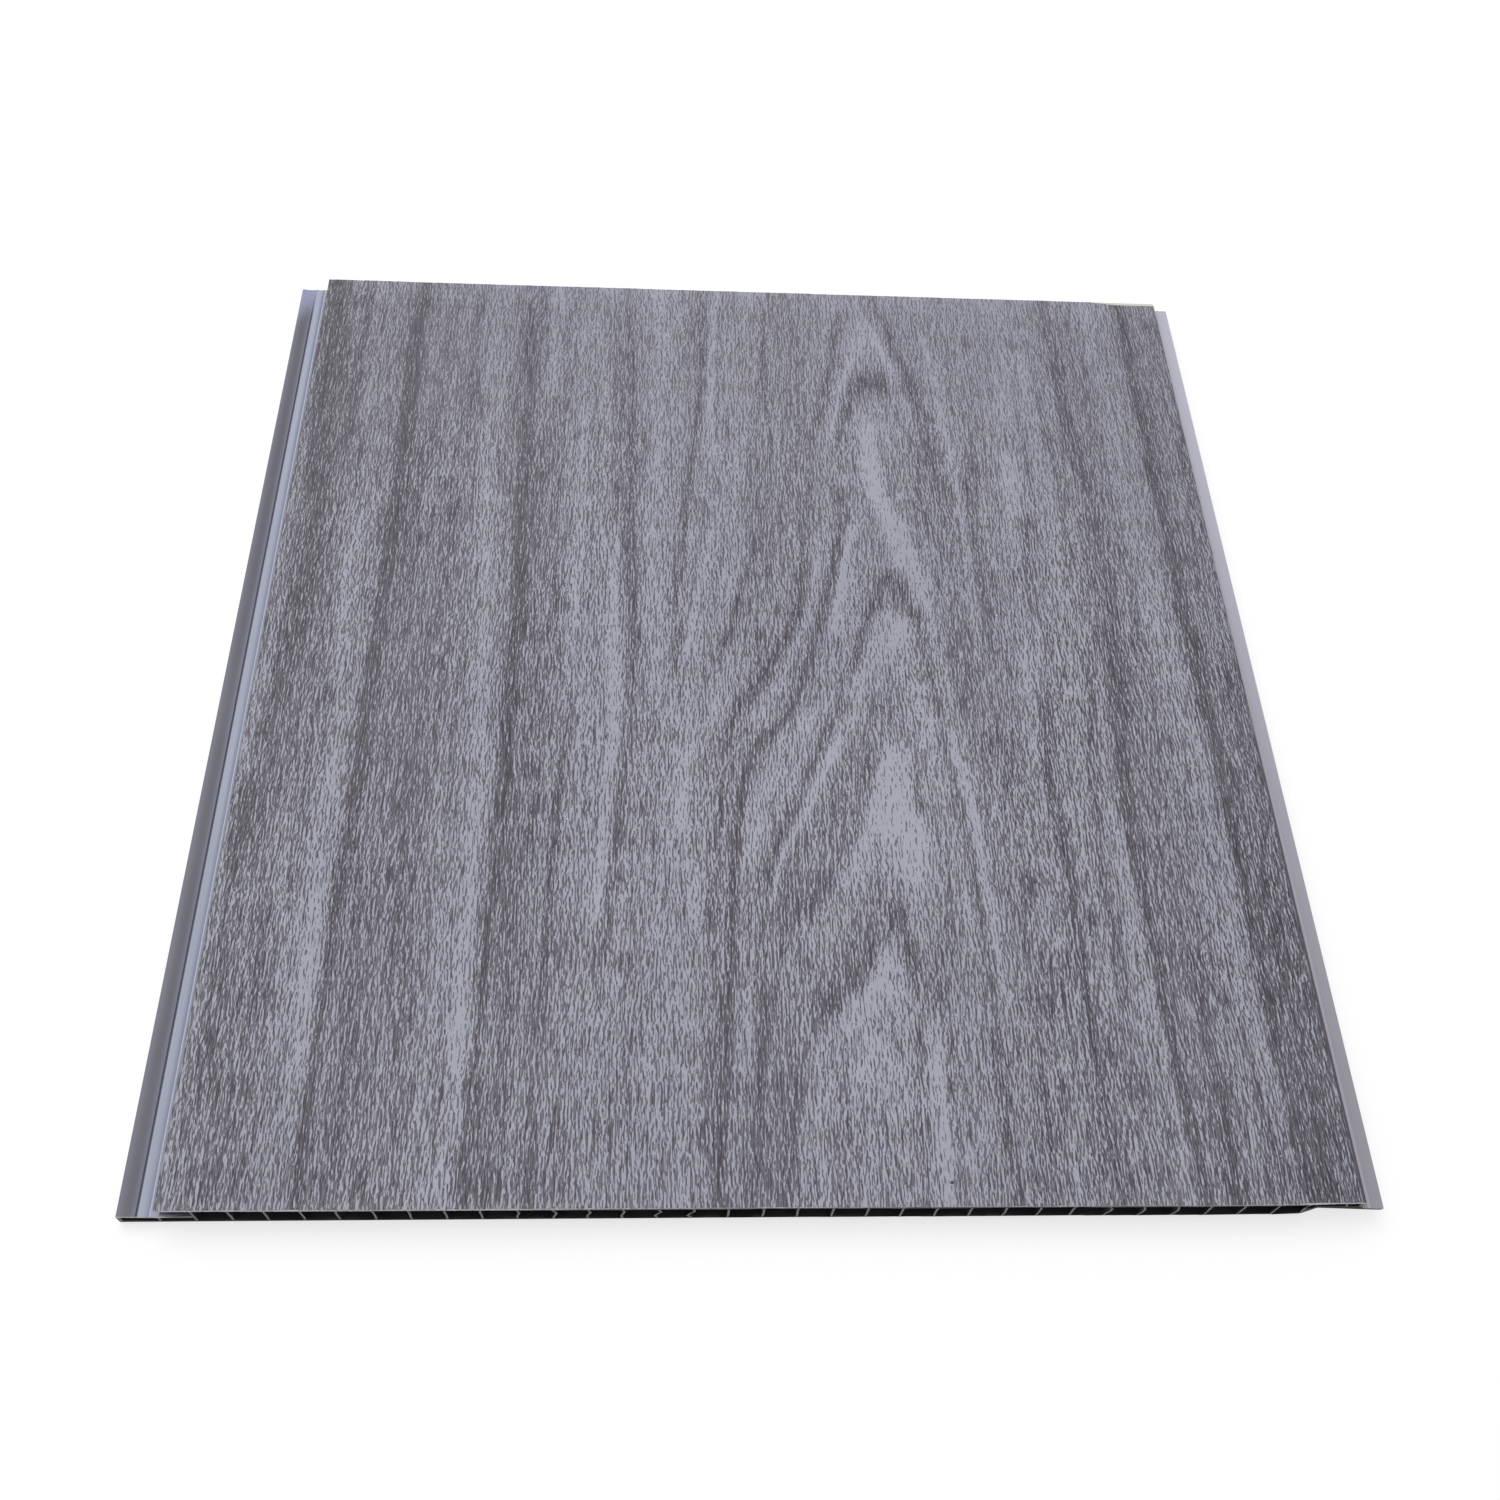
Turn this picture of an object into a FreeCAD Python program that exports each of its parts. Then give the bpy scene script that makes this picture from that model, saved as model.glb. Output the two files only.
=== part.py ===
import FreeCAD, Part

import math
import os

from FreeCAD import Vector

# A short length of hollow PVC ceiling panel, cut square at both ends.
# The section lies in X and Z and is extruded along Y. The decorative face looks up,
# the nailing flange with the groove is on the left (-X) and the tongue on the right (+X).
# All sizes are millimetres.

# Overall sizes
face_width = 250.0
panel_thickness = 8.0
panel_length = 275.0

# Skins, webs and inner corners of the hollow section
face_skin = 0.9
back_skin = 0.8
web_thickness = 0.45
web_pitch = 7.24
smallest_cell = 2.4
cell_corner_radius = 0.3

# Decorative face
face_edge_radius = 0.35

# Nailing flange, a flat hollow strip below the level of the face
flange_reach = 8.6
flange_height = 3.75
flange_skin = 0.85
flange_side_wall = 0.8
flange_top_radius = 0.5
flange_foot_radius = 0.3

# Outer band of the flange: a shallow trough that rises a little to the outer edge
band_rise = 0.15
band_dip = 0.15

# Groove line and bead that run along the flange, measured from the edge of the face
groove_offset = 4.46
groove_width = 0.45
groove_depth = 0.3
bead_offset = 1.6
bead_width = 0.4
bead_height = 0.15

# Slot under the lip of the face, which takes the tongue of the next panel
slot_depth = 6.8
slot_wall = 0.55
slot_corner_radius = 0.25
lip_underside_radius = 0.15

# Right side: wall under the edge of the face, tongue, and recess for the next flange
fit_clearance = 0.2
side_wall = 0.8
tongue_reach = 4.7
tongue_thickness = 1.15
tongue_root_radius = 0.25
tongue_top_radius = 0.3
tongue_tip_taper = 0.6
recess_depth = 9.6
recess_slope_run = 1.8
recess_corner_radius = 0.5

# Most of a short edge that the rounding of one of its corners may take
corner_share = 0.45

# Places that follow from the sizes above
overall_width = flange_reach + face_width + tongue_reach
flange_outer_x = -overall_width / 2
face_left_x = flange_outer_x + flange_reach
face_right_x = face_left_x + face_width
tongue_tip_x = face_right_x + tongue_reach
slot_end_x = face_left_x + slot_depth
first_web_x = slot_end_x + slot_wall / 2
recess_top_x = face_right_x - recess_depth
recess_foot_x = recess_top_x - recess_slope_run
flange_edge_height = flange_height + band_rise
recess_height = flange_edge_height + fit_clearance
tongue_top = recess_height + tongue_thickness
lip_underside = panel_thickness - face_skin


def point(x, z):
    return Vector(x, -panel_length / 2, z)


def corner_tangents(before, corner, after, radius):
    """Both ends and the middle of the arc that rounds one corner of an outline."""
    towards_before = (before - corner).normalize()
    towards_after = (after - corner).normalize()
    half_angle = towards_before.getAngle(towards_after) / 2
    longest = corner_share * min((before - corner).Length, (after - corner).Length)
    setback = min(radius / math.tan(half_angle), longest)
    fitted_radius = setback * math.tan(half_angle)
    bisector = (towards_before + towards_after).normalize()
    middle = corner + bisector * (fitted_radius / math.sin(half_angle) - fitted_radius)
    return corner + towards_before * setback, middle, corner + towards_after * setback


def rounded_edges(corners, closed):
    """Lines and arcs along corners given as (x, z, radius); radius 0 stays sharp."""
    places = [point(x, z) for x, z, radius in corners]
    count = len(corners)
    stops = []
    for index, (x, z, radius) in enumerate(corners):
        is_end = not closed and index in (0, count - 1)
        if radius > 0 and not is_end:
            before = places[index - 1]
            after = places[(index + 1) % count]
            stops.append(corner_tangents(before, places[index], after, radius))
        else:
            stops.append((places[index],))
    edges = []
    for index, stop in enumerate(stops):
        if len(stop) == 3:
            edges.append(Part.Arc(*stop).toShape())
        if index + 1 < count or closed:
            following = stops[(index + 1) % count]
            edges.append(Part.makeLine(stop[-1], following[0]))
    return edges


def band_edge():
    """Trough of the outer band, from the flange's rounded edge to the groove line."""
    groove_left = face_left_x - groove_offset - groove_width / 2
    start = point(flange_outer_x + flange_top_radius, flange_edge_height)
    end = point(groove_left, flange_height)
    middle_z = (flange_edge_height + flange_height) / 2 - band_dip
    middle = point((start.x + end.x) / 2, middle_z)
    return Part.Arc(start, middle, end).toShape()


def groove_edges():
    """Groove line pressed into the flange, with a V-shaped floor."""
    middle_x = face_left_x - groove_offset
    left = middle_x - groove_width / 2
    right = middle_x + groove_width / 2
    return [
        Part.makeLine(point(left, flange_height), point(middle_x, flange_height - groove_depth)),
        Part.makeLine(point(middle_x, flange_height - groove_depth), point(right, flange_height)),
    ]


def bead_edges():
    """Fine half-round bead beside the edge of the face, with the strip that leads to it."""
    groove_right = face_left_x - groove_offset + groove_width / 2
    middle_x = face_left_x - bead_offset
    left = point(middle_x - bead_width / 2, flange_height)
    top = point(middle_x, flange_height + bead_height)
    right = point(middle_x + bead_width / 2, flange_height)
    return [
        Part.makeLine(point(groove_right, flange_height), left),
        Part.Arc(left, top, right).toShape(),
    ]


def outer_outline():
    """Whole outline of the section, clockwise from the bead through the slot."""
    bead_end_x = face_left_x - bead_offset + bead_width / 2
    corners = [
        (bead_end_x, flange_height, 0),
        (slot_end_x, flange_height, slot_corner_radius),
        (slot_end_x, lip_underside, slot_corner_radius),
        (face_left_x, lip_underside, lip_underside_radius),
        (face_left_x, panel_thickness, face_edge_radius),
        (face_right_x, panel_thickness, face_edge_radius),
        (face_right_x, tongue_top, tongue_root_radius),
        (tongue_tip_x, tongue_top, tongue_top_radius),
        (tongue_tip_x, recess_height + tongue_tip_taper / 2, 0),
        (tongue_tip_x - tongue_tip_taper, recess_height, 0),
        (recess_top_x, recess_height, recess_corner_radius),
        (recess_foot_x, 0, recess_corner_radius),
        (flange_outer_x, 0, flange_foot_radius),
        (flange_outer_x, flange_edge_height, flange_top_radius),
        (flange_outer_x + flange_top_radius, flange_edge_height, 0),
    ]
    edges = rounded_edges(corners, closed=False)
    edges += [band_edge()] + groove_edges() + bead_edges()
    return Part.Wire(Part.__sortEdges__(edges))


def polygon_face(corners):
    places = [point(x, z) for x, z in corners]
    return Part.Face(Part.makePolygon(places + places[:1]))


def main_hollow():
    """Space inside the skins, from the slot's wall to the wall under the face's right edge."""
    slope = math.hypot(recess_slope_run, recess_height)
    slope_skin_x = back_skin * slope / recess_height
    ceiling = tongue_top

    def slope_inner_x(z):
        return recess_foot_x - slope_skin_x + recess_slope_run * z / recess_height

    left = slot_end_x + slot_wall
    right = face_right_x - side_wall
    return polygon_face([
        (left, back_skin),
        (slope_inner_x(back_skin), back_skin),
        (slope_inner_x(ceiling), ceiling),
        (right, ceiling),
        (right, lip_underside),
        (left, lip_underside),
    ])


def flange_hollow():
    """Space inside the flange and under the slot's floor."""
    left = flange_outer_x + flange_side_wall
    right = slot_end_x
    top = flange_height - flange_skin
    return polygon_face([(left, back_skin), (right, back_skin), (right, top), (left, top)])


def web_strip(middle_x):
    left = middle_x - web_thickness / 2
    right = middle_x + web_thickness / 2
    return polygon_face([(left, 0), (right, 0), (right, panel_thickness), (left, panel_thickness)])


def web_places(start_x, end_x):
    """Middles of the webs between two walls, at the pitch; none crowds the far wall."""
    step = web_pitch if end_x > start_x else -web_pitch
    room = abs(end_x - start_x) - smallest_cell
    return [start_x + step * index for index in range(1, int(room / web_pitch) + 1)]


def cell_faces(hollow, places):
    """The hollow divided by its webs, each cell with rounded corners."""
    divided = hollow.cut([web_strip(x) for x in places]) if places else hollow
    cells = []
    for cell in divided.Faces:
        corners = [(v.X, v.Z, cell_corner_radius) for v in cell.OuterWire.OrderedVertexes]
        cells.append(Part.Face(Part.Wire(Part.__sortEdges__(rounded_edges(corners, closed=True)))))
    return cells


def ceiling_panel():
    section = Part.Face(outer_outline())
    main_webs = web_places(first_web_x, face_right_x - side_wall)
    flange_webs = web_places(first_web_x, flange_outer_x + flange_side_wall)
    cells = cell_faces(main_hollow(), main_webs) + cell_faces(flange_hollow(), flange_webs)
    section = section.cut(cells)
    return section.Faces[0].extrude(Vector(0, panel_length, 0))


os.makedirs("parts", exist_ok=True)
panel = ceiling_panel()
panel.exportStep("parts/ceiling_panel.step")
print("valid", panel.isValid(), "solids", len(panel.Solids), "faces", len(panel.Faces))
print("volume_mm3", round(panel.Volume, 1), "box", panel.BoundBox)
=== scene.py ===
import math

import bmesh
import bpy
import numpy as np
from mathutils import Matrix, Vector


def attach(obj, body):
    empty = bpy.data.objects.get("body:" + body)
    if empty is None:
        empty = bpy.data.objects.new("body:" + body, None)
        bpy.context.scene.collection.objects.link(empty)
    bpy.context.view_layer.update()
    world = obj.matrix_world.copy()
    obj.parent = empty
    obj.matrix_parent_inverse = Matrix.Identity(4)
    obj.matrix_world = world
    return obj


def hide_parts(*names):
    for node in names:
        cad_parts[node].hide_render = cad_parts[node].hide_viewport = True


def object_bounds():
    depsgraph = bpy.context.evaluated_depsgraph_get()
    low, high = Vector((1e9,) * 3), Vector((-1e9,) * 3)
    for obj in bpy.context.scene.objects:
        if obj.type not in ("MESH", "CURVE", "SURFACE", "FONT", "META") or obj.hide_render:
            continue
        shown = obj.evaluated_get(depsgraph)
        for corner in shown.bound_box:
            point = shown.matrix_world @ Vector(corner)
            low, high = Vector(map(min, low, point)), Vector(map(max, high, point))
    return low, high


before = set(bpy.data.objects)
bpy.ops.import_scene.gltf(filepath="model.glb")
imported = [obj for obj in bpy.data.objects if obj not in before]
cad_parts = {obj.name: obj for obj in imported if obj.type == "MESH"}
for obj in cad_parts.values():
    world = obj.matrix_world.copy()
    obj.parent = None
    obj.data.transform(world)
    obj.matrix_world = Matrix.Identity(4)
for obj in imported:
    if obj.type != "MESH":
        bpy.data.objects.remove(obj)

cad_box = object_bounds()

# Extruded body of the panel: a face skin and a back skin of rigid PVC tied by upright webs,
# with the nailing flange and the groove on the left and the tongue on the right. It comes
# out of one die, and a saw has cut it square at both ends.

# Sizes in millimetres, as in the section that the die was made to
MM = 0.001
flange_left = cad_box[0].x / MM
tongue_right = cad_box[1].x / MM
near_cut = cad_box[0].y / MM
far_cut = cad_box[1].y / MM
panel_thickness = cad_box[1].z / MM
flange_reach = 8.6
tongue_reach = 4.7
face_left = flange_left + flange_reach
face_right = tongue_right - tongue_reach
face_skin = 0.9
back_skin = 0.8
web_thickness = 0.45
web_pitch = 7.24
cell_radius = 0.3
flange_height = 3.75
flange_edge_height = 3.9
flange_skin = 0.85
flange_side_wall = 0.8
slot_end = face_left + 6.8
slot_wall = 0.55
side_wall = 0.8
tongue_top = 5.25
tongue_taper = 0.6
recess_height = 4.1
recess_top = face_right - 9.6
recess_foot = recess_top - 1.8
lip_underside = panel_thickness - face_skin
groove_middle = face_left - 4.46
groove_width = 0.45
groove_depth = 0.3
bead_middle = face_left - 1.6
bead_width = 0.4
bead_height = 0.15
band_dip = 0.15
slot_radius = 0.25
lip_radius = 0.08
face_radius = 0.28
tongue_root_radius = 0.25
tongue_radius = 0.3
recess_radius = 0.5
back_radius = 0.3
flange_radius = 0.5

# The film lies in a step of the body, so that the covered panel has the size of the CAD solid
film_thickness = 0.1
film_foot_left = lip_underside + 0.18
film_foot_right = tongue_top + 0.5


def rounded_outline(corners, steps=4):
    """Closed outline through (x, z, radius) corners, each rounded by an arc of that radius."""
    places = [np.array(corner[:2], float) for corner in corners]
    outline = []
    for index, (x, z, radius) in enumerate(corners):
        corner = places[index]
        back = places[index - 1] - corner
        ahead = places[(index + 1) % len(places)] - corner
        if radius == 0:
            outline.append(tuple(corner))
            continue
        longest = 0.45 * min(np.linalg.norm(back), np.linalg.norm(ahead))
        back = back / np.linalg.norm(back)
        ahead = ahead / np.linalg.norm(ahead)
        half_angle = math.acos(np.clip(back @ ahead, -1, 1)) / 2
        setback = min(radius / math.tan(half_angle), longest)
        fitted = setback * math.tan(half_angle)
        bisector = (back + ahead) / np.linalg.norm(back + ahead)
        centre = corner + bisector * fitted / math.sin(half_angle)
        from_centre = corner + back * setback - centre
        to_centre = corner + ahead * setback - centre
        for step in range(steps + 1):
            share = step / steps
            spoke = from_centre * (1 - share) + to_centre * share
            outline.append(tuple(centre + spoke / np.linalg.norm(spoke) * fitted))
    return outline


def body_outline():
    """Outer outline of the section, from the slot round the face, tongue, back and flange."""
    film_left = face_left + film_thickness
    film_right = face_right - film_thickness
    film_level = panel_thickness - film_thickness
    outline = rounded_outline([
        (slot_end, flange_height, slot_radius),
        (slot_end, lip_underside, slot_radius),
        (face_left, lip_underside, lip_radius),
        (face_left, film_foot_left, 0),
        (film_left, film_foot_left, 0),
        (film_left, film_level, face_radius),
        (film_right, film_level, face_radius),
        (film_right, film_foot_right, 0),
        (face_right, film_foot_right, 0),
        (face_right, tongue_top, tongue_root_radius),
        (tongue_right, tongue_top, tongue_radius),
        (tongue_right, recess_height + tongue_taper / 2, 0),
        (tongue_right - tongue_taper, recess_height, 0),
        (recess_top, recess_height, recess_radius),
        (recess_foot, 0, recess_radius),
        (flange_left, 0, back_radius),
        (flange_left, flange_edge_height, flange_radius),
        (groove_middle - groove_width, flange_height, 0),
    ])
    outline.pop()
    band_start = flange_left + flange_radius
    band_end = groove_middle - groove_width / 2
    for share in np.linspace(0.1, 1, 10):
        level = flange_edge_height + (flange_height - flange_edge_height) * share
        dip = band_dip * 4 * share * (1 - share)
        outline.append((band_start + (band_end - band_start) * share, level - dip))
    outline.append((groove_middle, flange_height - groove_depth))
    outline.append((groove_middle + groove_width / 2, flange_height))
    for turn in np.linspace(math.pi, 0, 7):
        bead_x = bead_middle + math.cos(turn) * bead_width / 2
        outline.append((bead_x, flange_height + math.sin(turn) * bead_height))
    return outline


def slope_inside(z):
    """Inner side of the recess's sloping skin at height z."""
    slope_run = recess_top - recess_foot
    skin_x = back_skin * math.hypot(slope_run, recess_height) / recess_height
    return recess_foot - skin_x + slope_run * z / recess_height


first_web = slot_end + slot_wall / 2
half_web = web_thickness / 2
webs = [first_web + web_pitch * index for index in range(1, 34)]
plain_webs = [x for x in webs if x + web_pitch < slope_inside(back_skin)]
cut_web, last_plain = webs[-2], webs[-3]
slope_run_to_web = cut_web - half_web - slope_inside(back_skin)
slope_meets_web = back_skin + slope_run_to_web * recess_height / (recess_top - recess_foot)
flange_ceiling = flange_height - flange_skin
flange_web = first_web - web_pitch
odd_cells = [
    [
        (slot_end + slot_wall, back_skin),
        (webs[0] - half_web, back_skin),
        (webs[0] - half_web, lip_underside),
        (slot_end + slot_wall, lip_underside),
    ],
    [
        (last_plain + half_web, back_skin),
        (slope_inside(back_skin), back_skin),
        (cut_web - half_web, slope_meets_web),
        (cut_web - half_web, lip_underside),
        (last_plain + half_web, lip_underside),
    ],
    [
        (cut_web + half_web, slope_meets_web + web_thickness * 2),
        (slope_inside(tongue_top), tongue_top),
        (webs[-1] - half_web, tongue_top),
        (webs[-1] - half_web, lip_underside),
        (cut_web + half_web, lip_underside),
    ],
    [
        (webs[-1] + half_web, tongue_top),
        (face_right - side_wall, tongue_top),
        (face_right - side_wall, lip_underside),
        (webs[-1] + half_web, lip_underside),
    ],
    [
        (flange_left + flange_side_wall, back_skin),
        (flange_web - half_web, back_skin),
        (flange_web - half_web, flange_ceiling),
        (flange_left + flange_side_wall, flange_ceiling),
    ],
    [
        (flange_web + half_web, back_skin),
        (slot_end, back_skin),
        (slot_end, flange_ceiling),
        (flange_web + half_web, flange_ceiling),
    ],
]


def loops_object(name, loops):
    """A piece of closed edge loops drawn in X and Y, ready to be filled."""
    corners, edges = [], []
    for loop in loops:
        start = len(corners)
        corners += [(x * MM, z * MM, 0) for x, z in loop]
        edges += [(start + i, start + (i + 1) % len(loop)) for i in range(len(loop))]
    mesh = bpy.data.meshes.new(name)
    mesh.from_pydata(corners, edges, [])
    piece = bpy.data.objects.new(name, mesh)
    bpy.context.scene.collection.objects.link(piece)
    return piece


def new_node(tree, kind, inputs=(), **settings):
    """Adds a node; an input given as a socket is linked, and any other value is set."""
    node = tree.nodes.new(kind)
    for name, value in settings.items():
        setattr(node, name, value)
    for name, value in dict(inputs).items():
        socket = node.inputs[name]
        for source in value if isinstance(value, list) else [value]:
            if isinstance(source, bpy.types.NodeSocket):
                tree.links.new(source, socket)
            else:
                socket.default_value = source
    return node


def new_geometry_tree(name, inputs):
    """A Geometry Nodes tree with a geometry in and out and the named inputs."""
    tree = bpy.data.node_groups.new(name, "GeometryNodeTree")
    tree.interface.new_socket("Geometry", in_out="INPUT", socket_type="NodeSocketGeometry")
    for label, kind in inputs.items():
        tree.interface.new_socket(label, in_out="INPUT", socket_type="NodeSocket" + kind)
    tree.interface.new_socket("Geometry", in_out="OUTPUT", socket_type="NodeSocketGeometry")
    return tree, tree.nodes.new("NodeGroupInput").outputs


def grow(piece, tree, **values):
    """Runs a Geometry Nodes tree on the piece and keeps the result as its plain mesh."""
    modifier = piece.modifiers.new("grow", "NODES")
    modifier.node_group = tree
    wanted = {name.replace("_", " "): value for name, value in values.items()}
    for item in tree.interface.items_tree:
        if item.item_type == "SOCKET" and item.in_out == "INPUT" and item.name.lower() in wanted:
            modifier[item.identifier] = wanted[item.name.lower()]
    shape = bpy.data.meshes.new_from_object(piece.evaluated_get(bpy.context.evaluated_depsgraph_get()))
    piece.modifiers.remove(modifier)
    piece.data = shape
    shape.name = piece.name


def hollow_section_tree():
    """Cuts a row of like cells out of the drawn section and draws it out to its length."""
    tree, given = new_geometry_tree("hollow_section", {
        "Length": "Float", "Cell Count": "Int", "Cell Pitch": "Float", "First Cell": "Vector",
        "Cell Width": "Float", "Cell Height": "Float", "Cell Radius": "Float",
        "Material": "Material",
    })
    outlines = new_node(tree, "GeometryNodeMeshToCurve", {"Mesh": given["Geometry"]})
    cell = new_node(tree, "GeometryNodeCurvePrimitiveQuadrilateral",
                    {"Width": given["Cell Width"], "Height": given["Cell Height"]})
    rounded = new_node(tree, "GeometryNodeFilletCurve",
                       {"Curve": cell.outputs[0], "Count": 3, "Radius": given["Cell Radius"]},
                       mode="POLY")
    dense = new_node(tree, "GeometryNodeSubdivideCurve", {"Curve": rounded.outputs[0], "Cuts": 3})
    step = new_node(tree, "ShaderNodeCombineXYZ", {"X": given["Cell Pitch"]})
    row = new_node(tree, "GeometryNodeMeshLine",
                   {"Count": given["Cell Count"], "Start Location": given["First Cell"],
                    "Offset": step.outputs[0]})
    placed = new_node(tree, "GeometryNodeInstanceOnPoints",
                      {"Points": row.outputs[0], "Instance": dense.outputs[0]})
    cells = new_node(tree, "GeometryNodeRealizeInstances", {"Geometry": placed.outputs[0]})
    drawing = new_node(tree, "GeometryNodeJoinGeometry",
                       {"Geometry": [outlines.outputs[0], cells.outputs[0]]})
    section = new_node(tree, "GeometryNodeFillCurve", {"Curve": drawing.outputs[0]})
    reach = new_node(tree, "ShaderNodeMath", {0: given["Length"], 1: -1.0}, operation="MULTIPLY")
    run = new_node(tree, "ShaderNodeCombineXYZ", {"Z": reach.outputs[0]})
    drawn = new_node(tree, "GeometryNodeExtrudeMesh",
                     {"Mesh": section.outputs[0], "Offset": run.outputs[0],
                      "Offset Scale": 1.0, "Individual": False})
    near_end = new_node(tree, "GeometryNodeFlipFaces", {"Mesh": section.outputs[0]})
    both = new_node(tree, "GeometryNodeJoinGeometry",
                    {"Geometry": [drawn.outputs[0], near_end.outputs[0]]})
    closed = new_node(tree, "GeometryNodeMergeByDistance",
                      {"Geometry": both.outputs[0], "Distance": 1e-6})
    middle = new_node(tree, "ShaderNodeMath", {0: given["Length"], 1: 0.5}, operation="MULTIPLY")
    shift = new_node(tree, "ShaderNodeCombineXYZ", {"Z": middle.outputs[0]})
    centred = new_node(tree, "GeometryNodeTransform",
                       {"Geometry": closed.outputs[0], "Translation": shift.outputs[0]})
    upright = new_node(tree, "GeometryNodeTransform",
                       {"Geometry": centred.outputs[0], "Rotation": (math.pi / 2, 0, 0)})
    real = new_node(tree, "GeometryNodeRealizeInstances", {"Geometry": upright.outputs[0]})
    painted = new_node(tree, "GeometryNodeSetMaterial",
                       {"Geometry": real.outputs[0], "Material": given["Material"]})
    new_node(tree, "NodeGroupOutput", {"Geometry": painted.outputs[0]})
    return tree


def new_effect(name, inputs, outputs):
    """A shader node group with named inputs and outputs."""
    tree = bpy.data.node_groups.new(name, "ShaderNodeTree")
    for label, (kind, value) in inputs.items():
        socket = tree.interface.new_socket(label, in_out="INPUT", socket_type="NodeSocket" + kind)
        if value is not None:
            socket.default_value = value
    for label, kind in outputs.items():
        tree.interface.new_socket(label, in_out="OUTPUT", socket_type="NodeSocket" + kind)
    return tree, tree.nodes.new("NodeGroupInput").outputs


def noise(tree, place, stretch, detail=2.0, roughness=0.5):
    """Noise whose grains measure stretch along X, Y and Z, in the units of place."""
    scaled = new_node(tree, "ShaderNodeVectorMath",
                      {0: place, 1: tuple(1 / size for size in stretch)}, operation="MULTIPLY")
    return new_node(tree, "ShaderNodeTexNoise",
                    {"Vector": scaled.outputs[0], "Scale": 1.0, "Detail": detail,
                     "Roughness": roughness}).outputs[0]


def ramp(tree, value, low, high, to_low=0.0, to_high=1.0):
    """Smooth step of a value from low to high."""
    return new_node(tree, "ShaderNodeMapRange",
                    {"Value": value, "From Min": low, "From Max": high, "To Min": to_low,
                     "To Max": to_high}, interpolation_type="SMOOTHSTEP").outputs[0]


def calc(tree, operation, first, second=0.0, clamp=False):
    """One step of arithmetic on two values."""
    return new_node(tree, "ShaderNodeMath", {0: first, 1: second},
                    operation=operation, use_clamp=clamp).outputs[0]


def times(tree, *factors):
    """All the values multiplied with each other."""
    product = factors[0]
    for factor in factors[1:]:
        product = calc(tree, "MULTIPLY", product, factor)
    return product


def blend_colour(tree, share, first, second):
    """The first colour where share is 0 and the second where it is 1."""
    mix = new_node(tree, "ShaderNodeMix", {0: share, 6: first, 7: second}, data_type="RGBA")
    return mix.outputs[2]


def srgb(red, green, blue):
    """A colour given as it looks on a screen, from 0 to 255, as Blender's linear values."""
    def linear(level):
        level = level / 255
        return level / 12.92 if level <= 0.04045 else ((level + 0.055) / 1.055) ** 2.4
    return linear(red), linear(green), linear(blue), 1.0


def make_dust_effect():
    """Pale specks of saw dust and a thin uneven haze, for every surface of the panel."""
    tree, given = new_effect(
        "saw_dust",
        {"Place": ("Vector", None), "Speck Spacing": ("Float", 7.0), "Amount": ("Float", 0.3)},
        {"Specks": "Float", "Haze": "Float"})
    scale = calc(tree, "DIVIDE", 1.0, given["Speck Spacing"])
    cells = new_node(tree, "ShaderNodeTexVoronoi", {"Vector": given["Place"], "Scale": scale})
    parts = new_node(tree, "ShaderNodeSeparateColor", {0: cells.outputs["Color"]})
    chosen = calc(tree, "LESS_THAN", parts.outputs[0], given["Amount"])
    size = ramp(tree, parts.outputs[1], 0.0, 1.0, 0.010, 0.028)
    inside = calc(tree, "LESS_THAN", cells.outputs["Distance"], size)
    haze = ramp(tree, noise(tree, given["Place"], (34, 60, 34), 3), 0.42, 0.7)
    new_node(tree, "NodeGroupOutput", {"Specks": times(tree, chosen, inside), "Haze": haze})
    return tree


def make_die_line_effect():
    """Fine lines that the die leaves along the length of an extrusion."""
    tree, given = new_effect(
        "die_lines", {"Place": ("Vector", None), "Line Pitch": ("Float", 0.5)},
        {"Shade": "Float", "Height": "Float"})
    scaled = new_node(tree, "ShaderNodeVectorMath",
                      {0: given["Place"], 1: given["Line Pitch"]}, operation="DIVIDE")
    fine = noise(tree, scaled.outputs[0], (1.0, 400, 1.0), 2)
    broad = noise(tree, scaled.outputs[0], (7.0, 900, 7.0), 2)
    shade = calc(tree, "ADD", times(tree, fine, 0.5), times(tree, broad, 0.5))
    new_node(tree, "NodeGroupOutput", {"Shade": ramp(tree, shade, 0.35, 0.65), "Height": fine})
    return tree


dust_effect = make_dust_effect()
die_line_effect = make_die_line_effect()


def place_in_mm(tree):
    """Object coordinates in millimetres."""
    coordinates = new_node(tree, "ShaderNodeTexCoord")
    return new_node(tree, "ShaderNodeVectorMath",
                    {0: coordinates.outputs["Object"], 1: (1000, 1000, 1000)},
                    operation="MULTIPLY").outputs[0]


def new_surface(name, **constants):
    """A material with one Principled shader, whose constant sockets are set here."""
    material = bpy.data.materials.new(name)
    material.use_nodes = True
    tree = material.node_tree
    tree.nodes.clear()
    shader = new_node(tree, "ShaderNodeBsdfPrincipled")
    for label, value in constants.items():
        shader.inputs[label.replace("_", " ")].default_value = value
    new_node(tree, "ShaderNodeOutputMaterial", {"Surface": shader.outputs[0]})
    return material, tree, shader


def add_bump(tree, shader, height, strength, distance):
    """Fine relief on a surface, as deep as distance in millimetres."""
    bump = new_node(tree, "ShaderNodeBump",
                    {"Height": height, "Strength": strength, "Distance": distance * MM})
    tree.links.new(bump.outputs[0], shader.inputs["Normal"])


def inside_band(tree, value, middle, half_width, blur):
    """1 where a value lies within half_width of middle, falling off over blur."""
    gap = calc(tree, "ABSOLUTE", calc(tree, "SUBTRACT", value, middle))
    return ramp(tree, gap, half_width + blur, half_width)


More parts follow.
